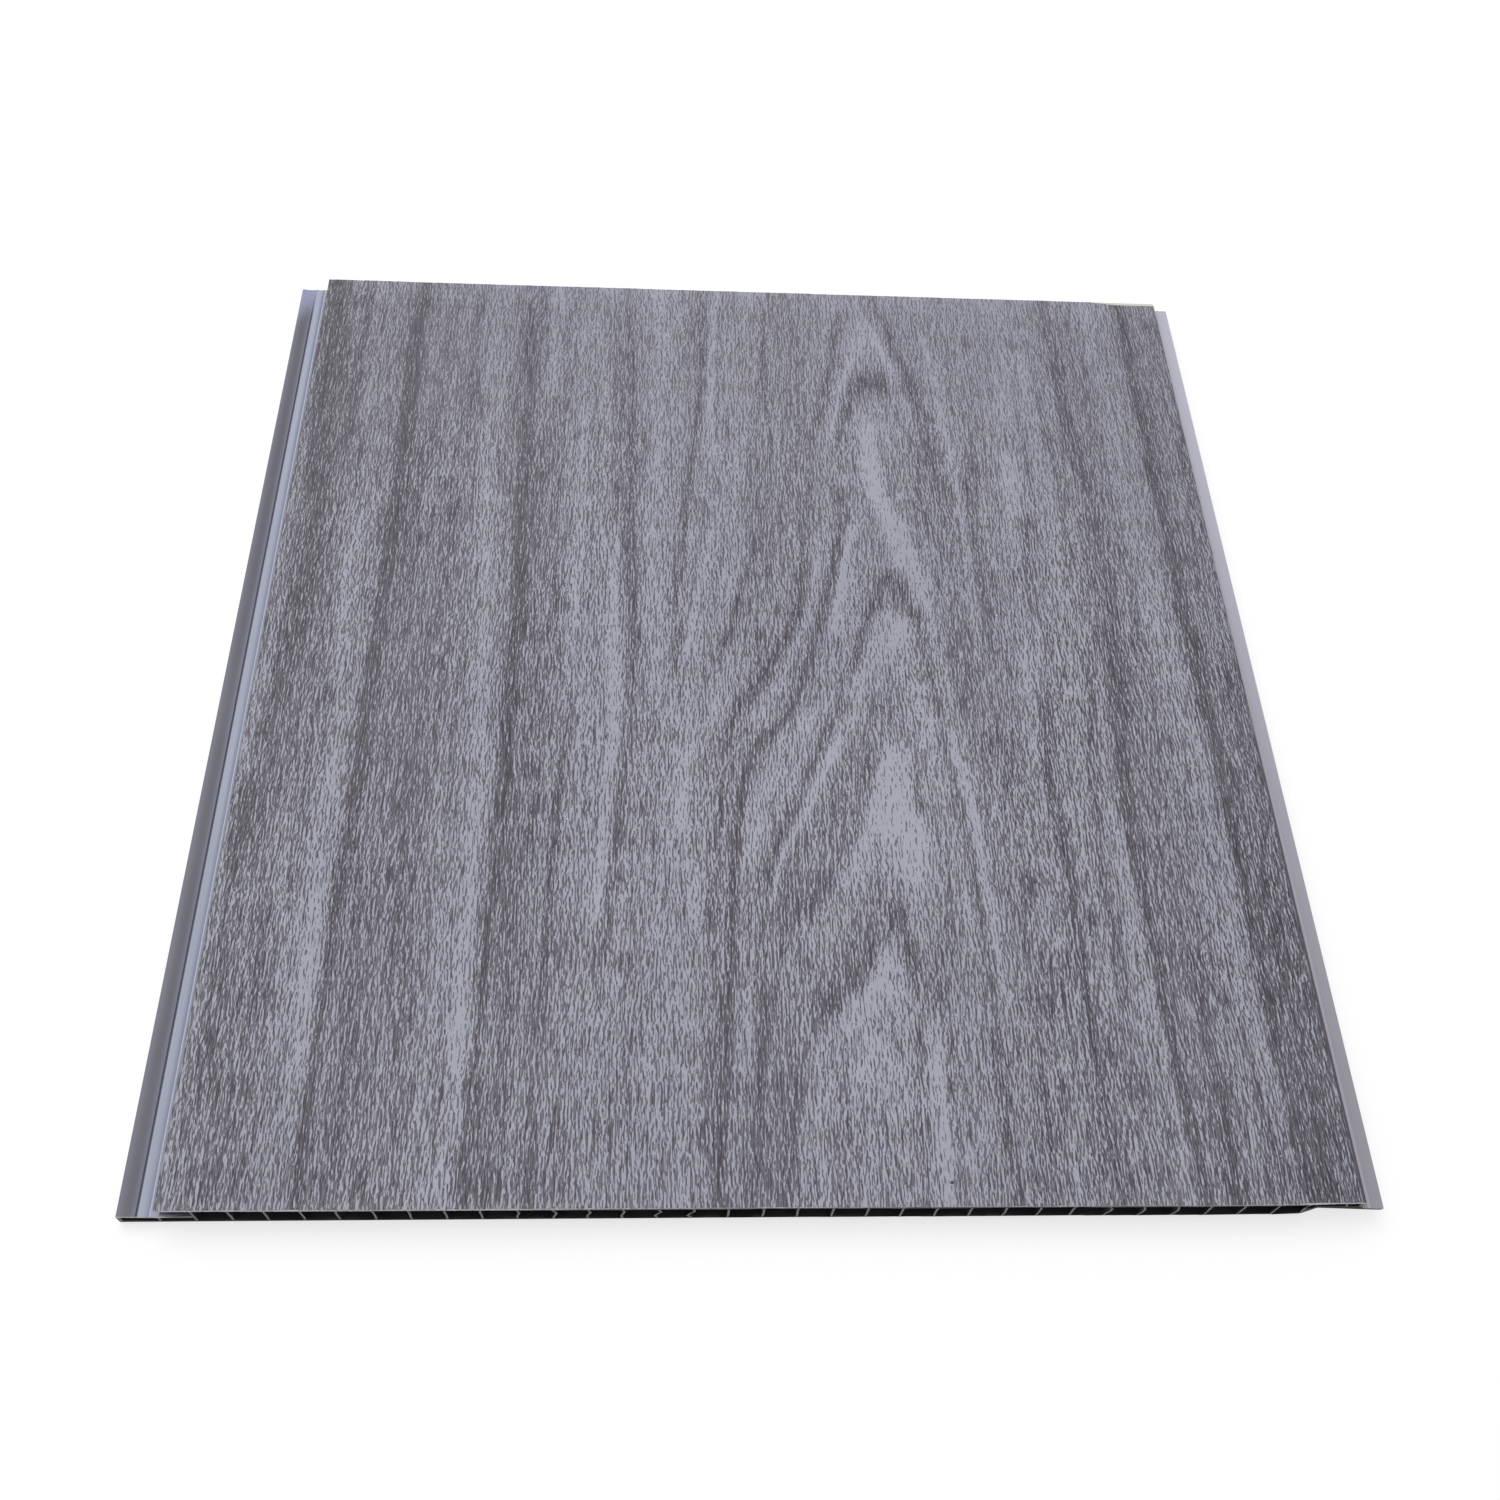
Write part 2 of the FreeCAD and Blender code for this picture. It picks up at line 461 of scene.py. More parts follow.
def drawn_side_colour(tree, x, die_lines, haze):
    """Blue-grey sides, with painted shade that makes the shallow strip between groove and bead darker
    towards the bead.
    """
    # painted shade on the strip, growing towards the bead
    strip_shade = times(tree, ramp(tree, x, groove_middle + 1.3, bead_middle - 0.3),
                     ramp(tree, x, bead_middle + 0.3, bead_middle))
    colour = blend_colour(tree, die_lines, srgb(168, 174, 195), srgb(180, 186, 206))
    colour = blend_colour(tree, strip_shade, colour, srgb(132, 139, 163))
    return blend_colour(tree, times(tree, haze, 0.4), colour, srgb(160, 162, 180))


def with_tongue_shade_and_bead_highlight(tree, colour, x, y, on_tongue):
    """Adds the tongue with painted shade that darkens it towards the near cut, a painted highlight on
    the bead by the face and a painted highlight line on the tongue by the face's edge.
    """
    # painted shade: the tongue is painted darker towards the near cut
    tongue = blend_colour(tree, ramp(tree, y, near_cut - 30, far_cut),
                          srgb(153, 151, 161), srgb(194, 194, 208))
    colour = blend_colour(tree, on_tongue, colour, tongue)
    # painted highlight along the bead
    bead = inside_band(tree, x, bead_middle, bead_width / 2, 0.1)
    colour = blend_colour(tree, times(tree, bead, 0.9), colour, srgb(199, 206, 224))
    # painted highlight: a pale line on the tongue by the face's edge, near the near cut only
    edge_line = inside_band(tree, x, face_right + 1.5, 0.25, 0.15)
    edge_line = times(tree, edge_line, ramp(tree, y, 40, -60, 0.0, 0.8))
    return blend_colour(tree, edge_line, colour, srgb(186, 183, 194))


def with_painted_band_reflection(tree, colour, place, x, y, z):
    """Adds the flange's outer band as painted reflection: darker than the rest, darkest in its trough,
    but for a pale painted reflection in a patch at its far end.
    """
    at_level = ramp(tree, z, flange_height - 0.6, flange_height - 0.35)
    in_band = times(tree, ramp(tree, x, groove_middle + 0.3, groove_middle), at_level)
    trough_middle = flange_left + 2.2
    # painted reflection: the band is painted darker, most of all in its trough
    band = blend_colour(tree, ramp(tree, x, flange_left + 0.2, trough_middle),
                        srgb(119, 119, 132), srgb(91, 92, 104))
    band = blend_colour(tree, ramp(tree, x, trough_middle + 0.5, groove_middle - 0.3), band,
                        srgb(113, 116, 131))
    # a pale painted reflection over the band's far end, along a ragged slant
    diagonal = calc(tree, "ADD", y, times(tree, x, -1.2))
    wander = times(tree, noise(tree, place, (2.0, 3.0, 2.0), 2), 4.0)
    far_end_reflection = ramp(tree, calc(tree, "ADD", diagonal, wander), 280, 293)
    band = blend_colour(tree, far_end_reflection, band, srgb(153, 156, 186))
    colour = blend_colour(tree, in_band, colour, band)
    # painted shade in the groove, with a painted highlight in it at the far end
    groove = inside_band(tree, x, groove_middle, groove_width / 2, 0.15)
    groove_shade_and_highlight = blend_colour(tree, far_end_reflection, srgb(110, 112, 130), srgb(184, 186, 212))
    return blend_colour(tree, times(tree, groove, at_level), colour, groove_shade_and_highlight)


def with_painted_hollow_shade(tree, colour, x, y, z):
    """Paints shade into the cells and slot: no light gets in, so they are painted nearly black behind
    the cut.
    """
    hollow = new_node(tree, "ShaderNodeAttribute", attribute_name="hollow").outputs["Fac"]
    colour = blend_colour(tree, hollow, colour, srgb(30, 30, 34))
    # painted shade in the slot, darker deeper in and towards the slot's end
    in_slot = times(tree, ramp(tree, x, face_left - 0.1, face_left + 0.3),
                    ramp(tree, x, slot_end + 0.1, slot_end),
                    ramp(tree, z, lip_underside + 0.1, lip_underside),
                    ramp(tree, z, flange_height - 0.1, flange_height - 0.05))
    depth = calc(tree, "SUBTRACT", y, near_cut)
    deep = calc(tree, "MAXIMUM", ramp(tree, depth, 0.1, 0.8, 0.35, 0.95),
                ramp(tree, x, face_left, face_left + 5.0, 0.0, 0.82))
    return blend_colour(tree, times(tree, in_slot, deep), colour, srgb(46, 45, 50))


def sawn_colour(tree, x, z, on_tongue, teeth):
    """Sawn PVC: whitened on the outer rim, a duller grey on the webs, with painted shade towards the
    floor, over the recess and darkest under the tongue.
    """
    on_flange = times(tree, ramp(tree, x, face_left + 3.0, face_left + 0.5),
                      inside_band(tree, z, flange_edge_height - 0.3, 0.32, 0.08))
    face_rim = ramp(tree, z, panel_thickness - 0.72, panel_thickness - 0.56)
    tongue_rim = times(tree, on_tongue, ramp(tree, z, tongue_top - 0.3, tongue_top - 0.22))
    rim = calc(tree, "MAXIMUM", calc(tree, "MAXIMUM", on_flange, face_rim), tongue_rim)
    # painted shade: the sawn ends are painted darker towards the floor
    dull_and_shade = blend_colour(tree, ramp(tree, z, 0.5, 1.2), srgb(60, 58, 54), srgb(128, 126, 124))
    # painted shade on the sawn end over the recess
    recess_shade = times(tree, ramp(tree, x, recess_foot - 0.2, recess_foot + 0.2),
                        ramp(tree, z, tongue_top + 0.2, tongue_top))
    dull_and_shade = blend_colour(tree, recess_shade, dull_and_shade, srgb(58, 53, 52))
    # painted shadow under the tongue: its sawn end is painted darkest
    dull_and_shade = blend_colour(tree, on_tongue, dull_and_shade, srgb(46, 39, 37))
    bright = blend_colour(tree, ramp(tree, teeth, 0.35, 0.65), srgb(206, 205, 210),
                          srgb(246, 244, 246))
    return blend_colour(tree, rim, dull_and_shade, bright)


def make_pvc():
    """Blue-grey rigid PVC: smooth drawn sides and chalky sawn ends, with a painted reflection on the
    outer band, painted highlights by the face and painted shade in the hollows and on the cut ends.
    """
    material, tree, shader = new_surface("pvc", IOR=1.5, Specular_IOR_Level=0.4)
    place = place_in_mm(tree)
    x, y, z = new_node(tree, "ShaderNodeSeparateXYZ", {0: place}).outputs
    lines = new_node(tree, "ShaderNodeGroup", {"Place": place}, node_tree=die_line_effect).outputs
    dust = new_node(tree, "ShaderNodeGroup", {"Place": place, "Speck Spacing": 4.0},
                    node_tree=dust_effect).outputs
    grit = new_node(tree, "ShaderNodeGroup",
                    {"Place": place, "Speck Spacing": 6.5, "Amount": 0.22},
                    node_tree=dust_effect).outputs
    on_tongue = ramp(tree, x, face_right - 0.05, face_right + 0.05)
    colour = drawn_side_colour(tree, x, lines["Shade"], dust["Haze"])
    colour = with_tongue_shade_and_bead_highlight(tree, colour, x, y, on_tongue)
    colour = with_painted_band_reflection(tree, colour, place, x, y, z)
    # where the film stays back from the far cut, the bare skin shows as a cream strip
    bared = times(tree, ramp(tree, y, far_cut - 2.2, far_cut - 1.8),
                  ramp(tree, z, panel_thickness - 0.6, panel_thickness - 0.5))
    colour = blend_colour(tree, bared, colour, srgb(222, 221, 208))
    colour = blend_colour(tree, grit["Specks"], colour, srgb(60, 58, 62))
    colour = blend_colour(tree, dust["Specks"], colour, srgb(215, 214, 210))
    # the webs show through the back skin as faint sunken stripes
    webs_passed = calc(tree, "DIVIDE", calc(tree, "SUBTRACT", x, first_web), web_pitch)
    from_web = calc(tree, "PINGPONG", webs_passed, 0.5)
    stripe = times(tree, ramp(tree, from_web, 0.16, 0.03), ramp(tree, z, 0.1, 0.02))
    colour = blend_colour(tree, times(tree, stripe, 0.3), colour, srgb(146, 151, 172))
    colour = with_painted_hollow_shade(tree, colour, x, y, z)
    sawn = new_node(tree, "ShaderNodeAttribute", attribute_name="sawn").outputs["Fac"]
    teeth = noise(tree, place, (0.5, 0.4, 3.0), 3, 0.6)
    colour = blend_colour(tree, sawn, colour, sawn_colour(tree, x, z, on_tongue, teeth))
    tree.links.new(colour, shader.inputs["Base Color"])
    rough = ramp(tree, noise(tree, place, (9, 60, 9), 3), 0.3, 0.7, 0.36, 0.5)
    rough = calc(tree, "ADD", rough, times(tree, sawn, 0.4), clamp=True)
    tree.links.new(rough, shader.inputs["Roughness"])
    ridges = times(tree, teeth, sawn)
    height = calc(tree, "ADD", times(tree, lines["Height"], 0.15), ridges)
    height = calc(tree, "SUBTRACT", height, times(tree, stripe, 0.2))
    add_bump(tree, shader, height, 0.5, 0.12)
    return material


pvc = make_pvc()


# Near its right end the near cut steps back into the panel
step_place = 113
step_size = 0.33


def saw_wander(x):
    """How far the near cut strays into the panel, in millimetres, at places across it."""
    x = np.asarray(x, float)
    waves = 0.03 * np.sin(x / 8.7 + 1.0) + 0.025 * np.sin(x / 3.1) + 0.02 * np.sin(x / 1.7 + 2)
    step = step_size / (1 + np.exp(-(x - step_place) * 2)) * (x < face_right + 0.01)
    return 0.10 + waves + step


# Webs that the saw caught, numbered from 0 at the left: how far each one bulges to the right
# and how far its upper part leans that way, in millimetres
bent_webs = {
    8: (0.35, 0.5), 9: (0.8, 0.4), 10: (0.3, 0.7), 11: (0.0, 0.6), 12: (0.0, 1.15),
    13: (-0.6, 1.2), 25: (0.8, 0.5), 26: (0.7, 0.1), 27: (0.7, 0.1), 31: (-1.2, 0.0),
    32: (0.8, 0.0),
}
bend_depth = 2.4
cut_slices = (0.7, 1.5, 2.6, 4.2, 7.0)


def bend_webs(points):
    """Bends the webs beside the near cut sideways, between their fixed upper and lower ends."""
    rng = np.random.default_rng(31)
    depth = points[:, 1] - near_cut
    rise = np.clip((points[:, 2] - back_skin) / (lip_underside - back_skin), 0, 1)
    for index, web in enumerate(webs):
        bulge, lean = bent_webs.get(index, (rng.uniform(-0.2, 0.2), rng.uniform(-0.1, 0.1)))
        on_web = (abs(points[:, 0] - web) < half_web + 0.05) & (depth < cut_slices[-1])
        sway = bulge * np.sin(rise * math.pi) - 0.6 * lean * np.sin(rise * 2 * math.pi)
        points[:, 0] += np.where(on_web, sway * np.exp(-depth / bend_depth), 0)


def gap_to_outline(x, z):
    """Distance from each place of the section to its outer outline."""
    corners = np.array(body_outline())
    run = np.roll(corners, -1, axis=0) - corners
    dx, dz = x[:, None] - corners[:, 0], z[:, None] - corners[:, 1]
    share = np.clip((dx * run[:, 0] + dz * run[:, 1]) / (run ** 2).sum(1), 0, 1)
    return np.hypot(dx - share * run[:, 0], dz - share * run[:, 1]).min(1)


def get_points(mesh):
    """Places of a mesh's corners, in millimetres."""
    points = np.empty(len(mesh.vertices) * 3)
    mesh.vertices.foreach_get("co", points)
    return points.reshape(-1, 3) / MM


def set_points(mesh, points):
    """Moves a mesh's corners to places given in millimetres."""
    mesh.vertices.foreach_set("co", (points * MM).ravel())
    mesh.update()


def keep_in_box(points):
    """Holds points inside the size of the CAD solid."""
    low = np.array(cad_box[0]) / MM
    high = np.array(cad_box[1]) / MM
    return np.clip(points, low, high)


def weigh_normals(piece):
    """Gives each corner the direction of its larger faces, so that flats shade as flats."""
    modifier = piece.modifiers.new("weigh", "WEIGHTED_NORMAL")
    modifier.keep_sharp = True
    depsgraph = bpy.context.evaluated_depsgraph_get()
    shape = bpy.data.meshes.new_from_object(
        piece.evaluated_get(depsgraph), preserve_all_data_layers=True, depsgraph=depsgraph)
    piece.modifiers.remove(modifier)
    piece.data = shape
    shape.name = piece.name


def make_body():
    """The whole extrusion: drawn out with its cells, sliced by the cut and roughened there."""
    loops = [body_outline()]
    for cell in odd_cells:
        loops.append(rounded_outline([(x, z, cell_radius) for x, z in cell], steps=3))
    piece = loops_object("extruded_body", loops)
    middle_height = (back_skin + lip_underside) / 2
    grow(piece, hollow_section_tree(),
         length=(far_cut - near_cut) * MM, cell_count=len(plain_webs), cell_pitch=web_pitch * MM,
         first_cell=((webs[0] + web_pitch / 2) * MM, middle_height * MM, 0),
         cell_width=(web_pitch - web_thickness) * MM,
         cell_height=(lip_underside - back_skin) * MM, cell_radius=cell_radius * MM,
         material=pvc)
    shape = bmesh.new()
    shape.from_mesh(piece.data)
    for depth in cut_slices:
        everything = shape.verts[:] + shape.edges[:] + shape.faces[:]
        bmesh.ops.bisect_plane(shape, geom=everything, plane_no=(0, 1, 0),
                               plane_co=(0, (near_cut + depth) * MM, 0))
    bmesh.ops.recalc_face_normals(shape, faces=shape.faces)
    shape.to_mesh(piece.data)
    shape.free()
    faces = piece.data.polygons
    sawn = np.array([abs(face.normal.y) > 0.7 for face in faces])
    middles = np.array([tuple(face.center) for face in faces]) / MM
    # faces inside the cells, which get painted shade
    hollow = (gap_to_outline(middles[:, 0], middles[:, 2]) > 0.3) & ~sawn
    for name, values in (("sawn", sawn), ("hollow", hollow)):
        marks = piece.data.attributes.new(name, "FLOAT", "FACE")
        marks.data.foreach_set("value", values.astype(float))
    points = get_points(piece.data)
    bend_webs(points)
    at_near = points[:, 1] < near_cut + 0.01
    at_far = points[:, 1] > far_cut - 0.01
    rng = np.random.default_rng(5)
    chips = rng.uniform(-0.05, 0.05, len(points))
    points[:, 1] += np.where(at_near, saw_wander(points[:, 0]) + chips, 0)
    points[:, 1] -= np.where(at_far, 0.06 + chips * 0.6 + 0.03 * np.sin(points[:, 0] / 5.3), 0)
    set_points(piece.data, keep_in_box(points))
    piece.data.shade_smooth()
    piece.data.set_sharp_from_angle(angle=math.radians(32))
    weigh_normals(piece)
    return piece


body = make_body()
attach(body, "root")
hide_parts("ceiling_panel")

# Printed film of the face: a thin PVC foil with a grey wood grain, glued over the face skin
# and turned down over both long edges. The saw went through it with the body. The grain is
# a pattern of short printed strokes, close together where the year rings of the wood lie.

# Grain lines: darkness, fade to the left, fade to the right, then the points, in millimetres
# from the face's middle and from the near cut. Left is the flange's side, and on a line that
# turns back it is the left of someone who walks along its points. They were placed by hand,
# except the last 25 of side_grain, 4 of heart_grain and 16 of far_grain: a scratch script
# listed those places where the render differed, and only their rounding was done by hand.
side_grain = [
    (0.38, 6, 5, (-121, 275), (-120, 200), (-119, 125)),
    (0.45, 2.4, 2.2, (-122, 275), (-120.5, 235), (-118, 205), (-116.5, 175), (-116, 160),
     (-118, 142), (-119.5, 110)),
    (0.25, 1.8, 1.8, (-113, 275), (-112, 235), (-112, 200)),
    (0.50, 1.3, 1.3, (-119, 140), (-121, 112), (-122, 80), (-121.5, 50), (-120.5, 0)),
    (0.25, 3, 2.5, (-118, 125), (-118, 80), (-117, 0)),
    (0.28, 1.2, 1.2, (-113, 240), (-112, 190), (-112, 150), (-113, 105), (-113, 60),
     (-112, 42), (-114, 0)),
    (-0.20, 2.6, 2.4, (-105, 200), (-106, 160), (-104, 125), (-102.5, 60), (-103, 0)),
    (-0.30, 1.5, 1.1, (-105.5, 192), (-106, 160), (-103, 120), (-101.5, 90)),
    (-0.40, 1.3, 1.2, (-101.5, 80), (-101.8, 60), (-102, 40)),
    (0.20, 1.6, 1.6, (-104, 42), (-104, 0)),
    (0.22, 3.0, 3.0, (-105.5, 142), (-106, 100)),
    (0.90, 1.2, 1.4, (-96.5, 275), (-97, 245), (-96.2, 180), (-96.8, 150), (-96.4, 92)),
    (0.72, 0.9, 0.9, (-96.6, 95), (-97.6, 60), (-97.6, 40), (-97.2, 0)),
    (-0.20, 2.0, 2.0, (-98.5, 55), (-98.5, 15)),
    (0.25, 0.5, 8, (-96, 275), (-96.2, 180), (-96.8, 150), (-98, 0)),
    (0.35, 2, 1.6, (-99, 252), (-98.6, 244), (-99, 236)),
    (0.20, 5, 5, (-86, 200), (-86, 100), (-88, 0)),
    (-0.10, 0.9, 0.9, (-86.5, 246), (-86, 215), (-86.5, 178)),
    (0.14, 0.8, 0.8, (-89.5, 262), (-89, 185), (-89.5, 130), (-90.5, 100)),
    (0.26, 0.9, 0.9, (-91, 85), (-92, 60), (-90.5, 25), (-91, 0)),
    (0.38, 0.8, 0.8, (-80.5, 197), (-81.5, 168), (-81, 140)),
    (0.25, 0.8, 0.8, (-79, 275), (-80, 245), (-77.5, 222)),
    (0.28, 0.9, 0.9, (-83, 115), (-83, 70), (-79.5, 50), (-79, 30)),
    (0.22, 0.6, 0.6, (-76, 200), (-74.5, 150), (-75, 110)),
    (0.18, 2.0, 2.0, (-80, 140), (-81, 85)),
    (0.22, 2.5, 2.5, (-45.5, 75), (-46, 0)),
    (-0.16, 2.4, 2, (-74, 250), (-73.5, 210), (-73, 160)),
    (-0.26, 2.2, 1.6, (-71, 185), (-69.5, 140), (-68.5, 80), (-69, 0)),
    (-0.42, 1.4, 1.1, (-67.5, 104), (-67.6, 70), (-67.8, 20)),
    (0.32, 2.6, 2.2, (-63.5, 275), (-63.5, 232)),
    (-0.42, 0.8, 1.2, (-57.5, 275), (-56.5, 228)),
    (0.92, 1.2, 1.1, (-63.5, 230), (-62.5, 190), (-61.8, 145), (-62, 86)),
    (0.72, 0.8, 0.9, (-62, 90), (-63.2, 55), (-64, 0)),
    (0.22, 0.5, 6, (-62.5, 225), (-62, 140), (-64, 0)),
    (0.22, 0.8, 0.8, (-58, 222), (-57.5, 175)),
    (0.20, 0.8, 0.8, (-53, 275), (-52.5, 180), (-53, 130)),
    (0.38, 0.8, 0.8, (-55, 112), (-54, 96), (-57, 72), (-57.5, 25), (-58, 0)),
    (0.30, 0.9, 0.9, (-48.5, 114), (-50, 70), (-51, 0)),
    (-0.24, 2.2, 2.2, (-47, 235), (-45.5, 190), (-45, 150), (-43.5, 105)),
    (-0.55, 1.4, 0.9, (-36.4, 186), (-37, 150), (-36.2, 120), (-37, 95), (-39, 58)),
    (0.50, 0.9, 0.9, (-36.5, 275), (-34.5, 240), (-33.8, 205), (-32.5, 170), (-31.5, 135),
     (-33.5, 95), (-36, 66), (-38, 50)),
    (0.25, 0.7, 0.7, (-30.5, 262), (-30, 235), (-29.5, 200)),
    (0.20, 0.8, 0.8, (-33, 35), (-34, 0)),
    (-0.32, 1.6, 1.6, (-26, 275), (-25, 225), (-27, 190), (-26, 150), (-24, 120)),
    (-0.25, 1.5, 1.5, (-106, 232), (-105, 185)),
    (-0.20, 1.2, 1.2, (-90.5, 258), (-90, 208)),
    (0.26, 0.8, 0.8, (-87.2, 258), (-87, 200)),
    (-0.18, 2.8, 2.8, (-71, 205), (-69, 150), (-67, 100)),
    (-0.20, 1.8, 1.8, (-73, 92), (-72.5, 28)),
    (-0.38, 2.0, 2.0, (-64.5, 52), (-64, 20)),
    (-0.26, 1.1, 1.1, (-47.2, 168), (-46, 116)),
    (-0.25, 1.5, 1.5, (-31, 268), (-30, 212)),
    (0.30, 1.3, 1.3, (-38.5, 272), (-38, 225), (-37, 195), (-33.5, 165), (-31.5, 135)),
    (0.24, 1.6, 1.6, (-63, 248), (-63, 222)),
    (0.30, 1.6, 1.6, (-121.5, 108), (-121, 80)),
    (0.22, 1.8, 1.8, (-111, 66), (-111, 36)),
    (0.20, 1.2, 1.2, (-81, 100), (-79, 42)),
    (0.22, 2.0, 2.0, (-61, 32), (-60, 0)),
    (-0.20, 2.0, 2.0, (-100, 72), (-100, 18)),
    (0.20, 1.0, 1.0, (-97, 106), (-96.5, 84)),
    (0.20, 2.5, 2.5, (-123, 275), (-122, 238)),
    (0.15, 5.0, 5.0, (-109, 140), (-109, 92)),
    (0.25, 1.5, 1.5, (-122, 96), (-121.5, 70)),
    (-0.15, 1.5, 1.5, (-117, 80), (-117, 54)),
    (-0.15, 1.5, 1.5, (-121.5, 32), (-121, 0)),
    (0.16, 1.2, 1.2, (-98.5, 192), (-98.5, 170)),
    (-0.18, 1.8, 1.8, (-84, 187), (-83, 150)),
    (0.20, 1.2, 1.2, (-79, 244), (-78, 216)),
    (0.20, 1.0, 1.0, (-75.5, 207), (-76, 178)),
    (0.20, 1.0, 1.0, (-70.5, 40), (-70, 8)),
    (-0.20, 2.5, 2.5, (-67, 120), (-66, 86)),
    (0.18, 1.0, 1.0, (-49.5, 152), (-50, 110)),
    (-0.20, 3.0, 3.0, (-48, 270), (-47, 230)),
    (0.20, 1.5, 1.5, (-49, 16), (-48.5, 0)),
    (0.18, 2.5, 2.5, (-36, 110), (-34, 78)),
    (0.16, 3.0, 3.0, (-105, 230), (-106, 150), (-105, 80), (-107, 0)),
    (0.16, 2.5, 2.5, (-60, 275), (-66, 225), (-67, 163)),
    (0.14, 2.5, 2.5, (-81, 275), (-78, 215), (-76, 156)),
    (0.16, 2.5, 2.5, (-101.5, 275), (-101.5, 230)),
    (0.15, 1.6, 1.6, (-80.5, 174), (-77.5, 85)),
    (0.14, 1.4, 1.4, (-41.5, 230), (-43, 110)),
    (0.26, 1.2, 1.2, (-70, 88), (-70, 0)),
    (0.14, 2.0, 2.0, (-112, 54), (-112, 0)),
    (0.18, 1.2, 1.2, (-33, 275), (-31.5, 205)),
    (0.14, 2.0, 2.0, (-113.5, 250), (-110, 206)),
    (0.13, 1.6, 1.6, (-90, 146), (-88.5, 94)),
    (0.15, 1.8, 1.8, (-39, 106), (-40, 68)),
    (0.15, 1.6, 1.6, (-36.5, 187), (-35.5, 148)),
    (0.16, 1.6, 1.6, (-77, 36), (-76, 0)),
    (0.20, 1.3, 1.3, (-88, 275), (-87, 235)),
    (0.18, 1.0, 1.0, (-52.5, 60), (-52.5, 12)),
    (0.16, 1.6, 1.6, (-85, 30), (-84.5, 0)),
    (-0.18, 1.7, 1.7, (-122, 50), (-121.5, 0)),
    (-0.18, 1.9, 1.9, (-56.5, 118), (-55.5, 78)),
    (-0.16, 1.7, 1.7, (-98, 75), (-97, 35)),
    (-0.16, 1.7, 1.7, (-64.5, 36), (-63.5, 0)),
    (-0.18, 1.2, 1.2, (-86.5, 92), (-87.5, 52)),
    (-0.22, 1.1, 1.1, (-30.5, 168), (-29.5, 131)),
    (-0.18, 1.0, 1.0, (-66, 83), (-65.5, 51)),
    (-0.16, 1.4, 1.4, (-28.5, 45), (-29, 20)),
]
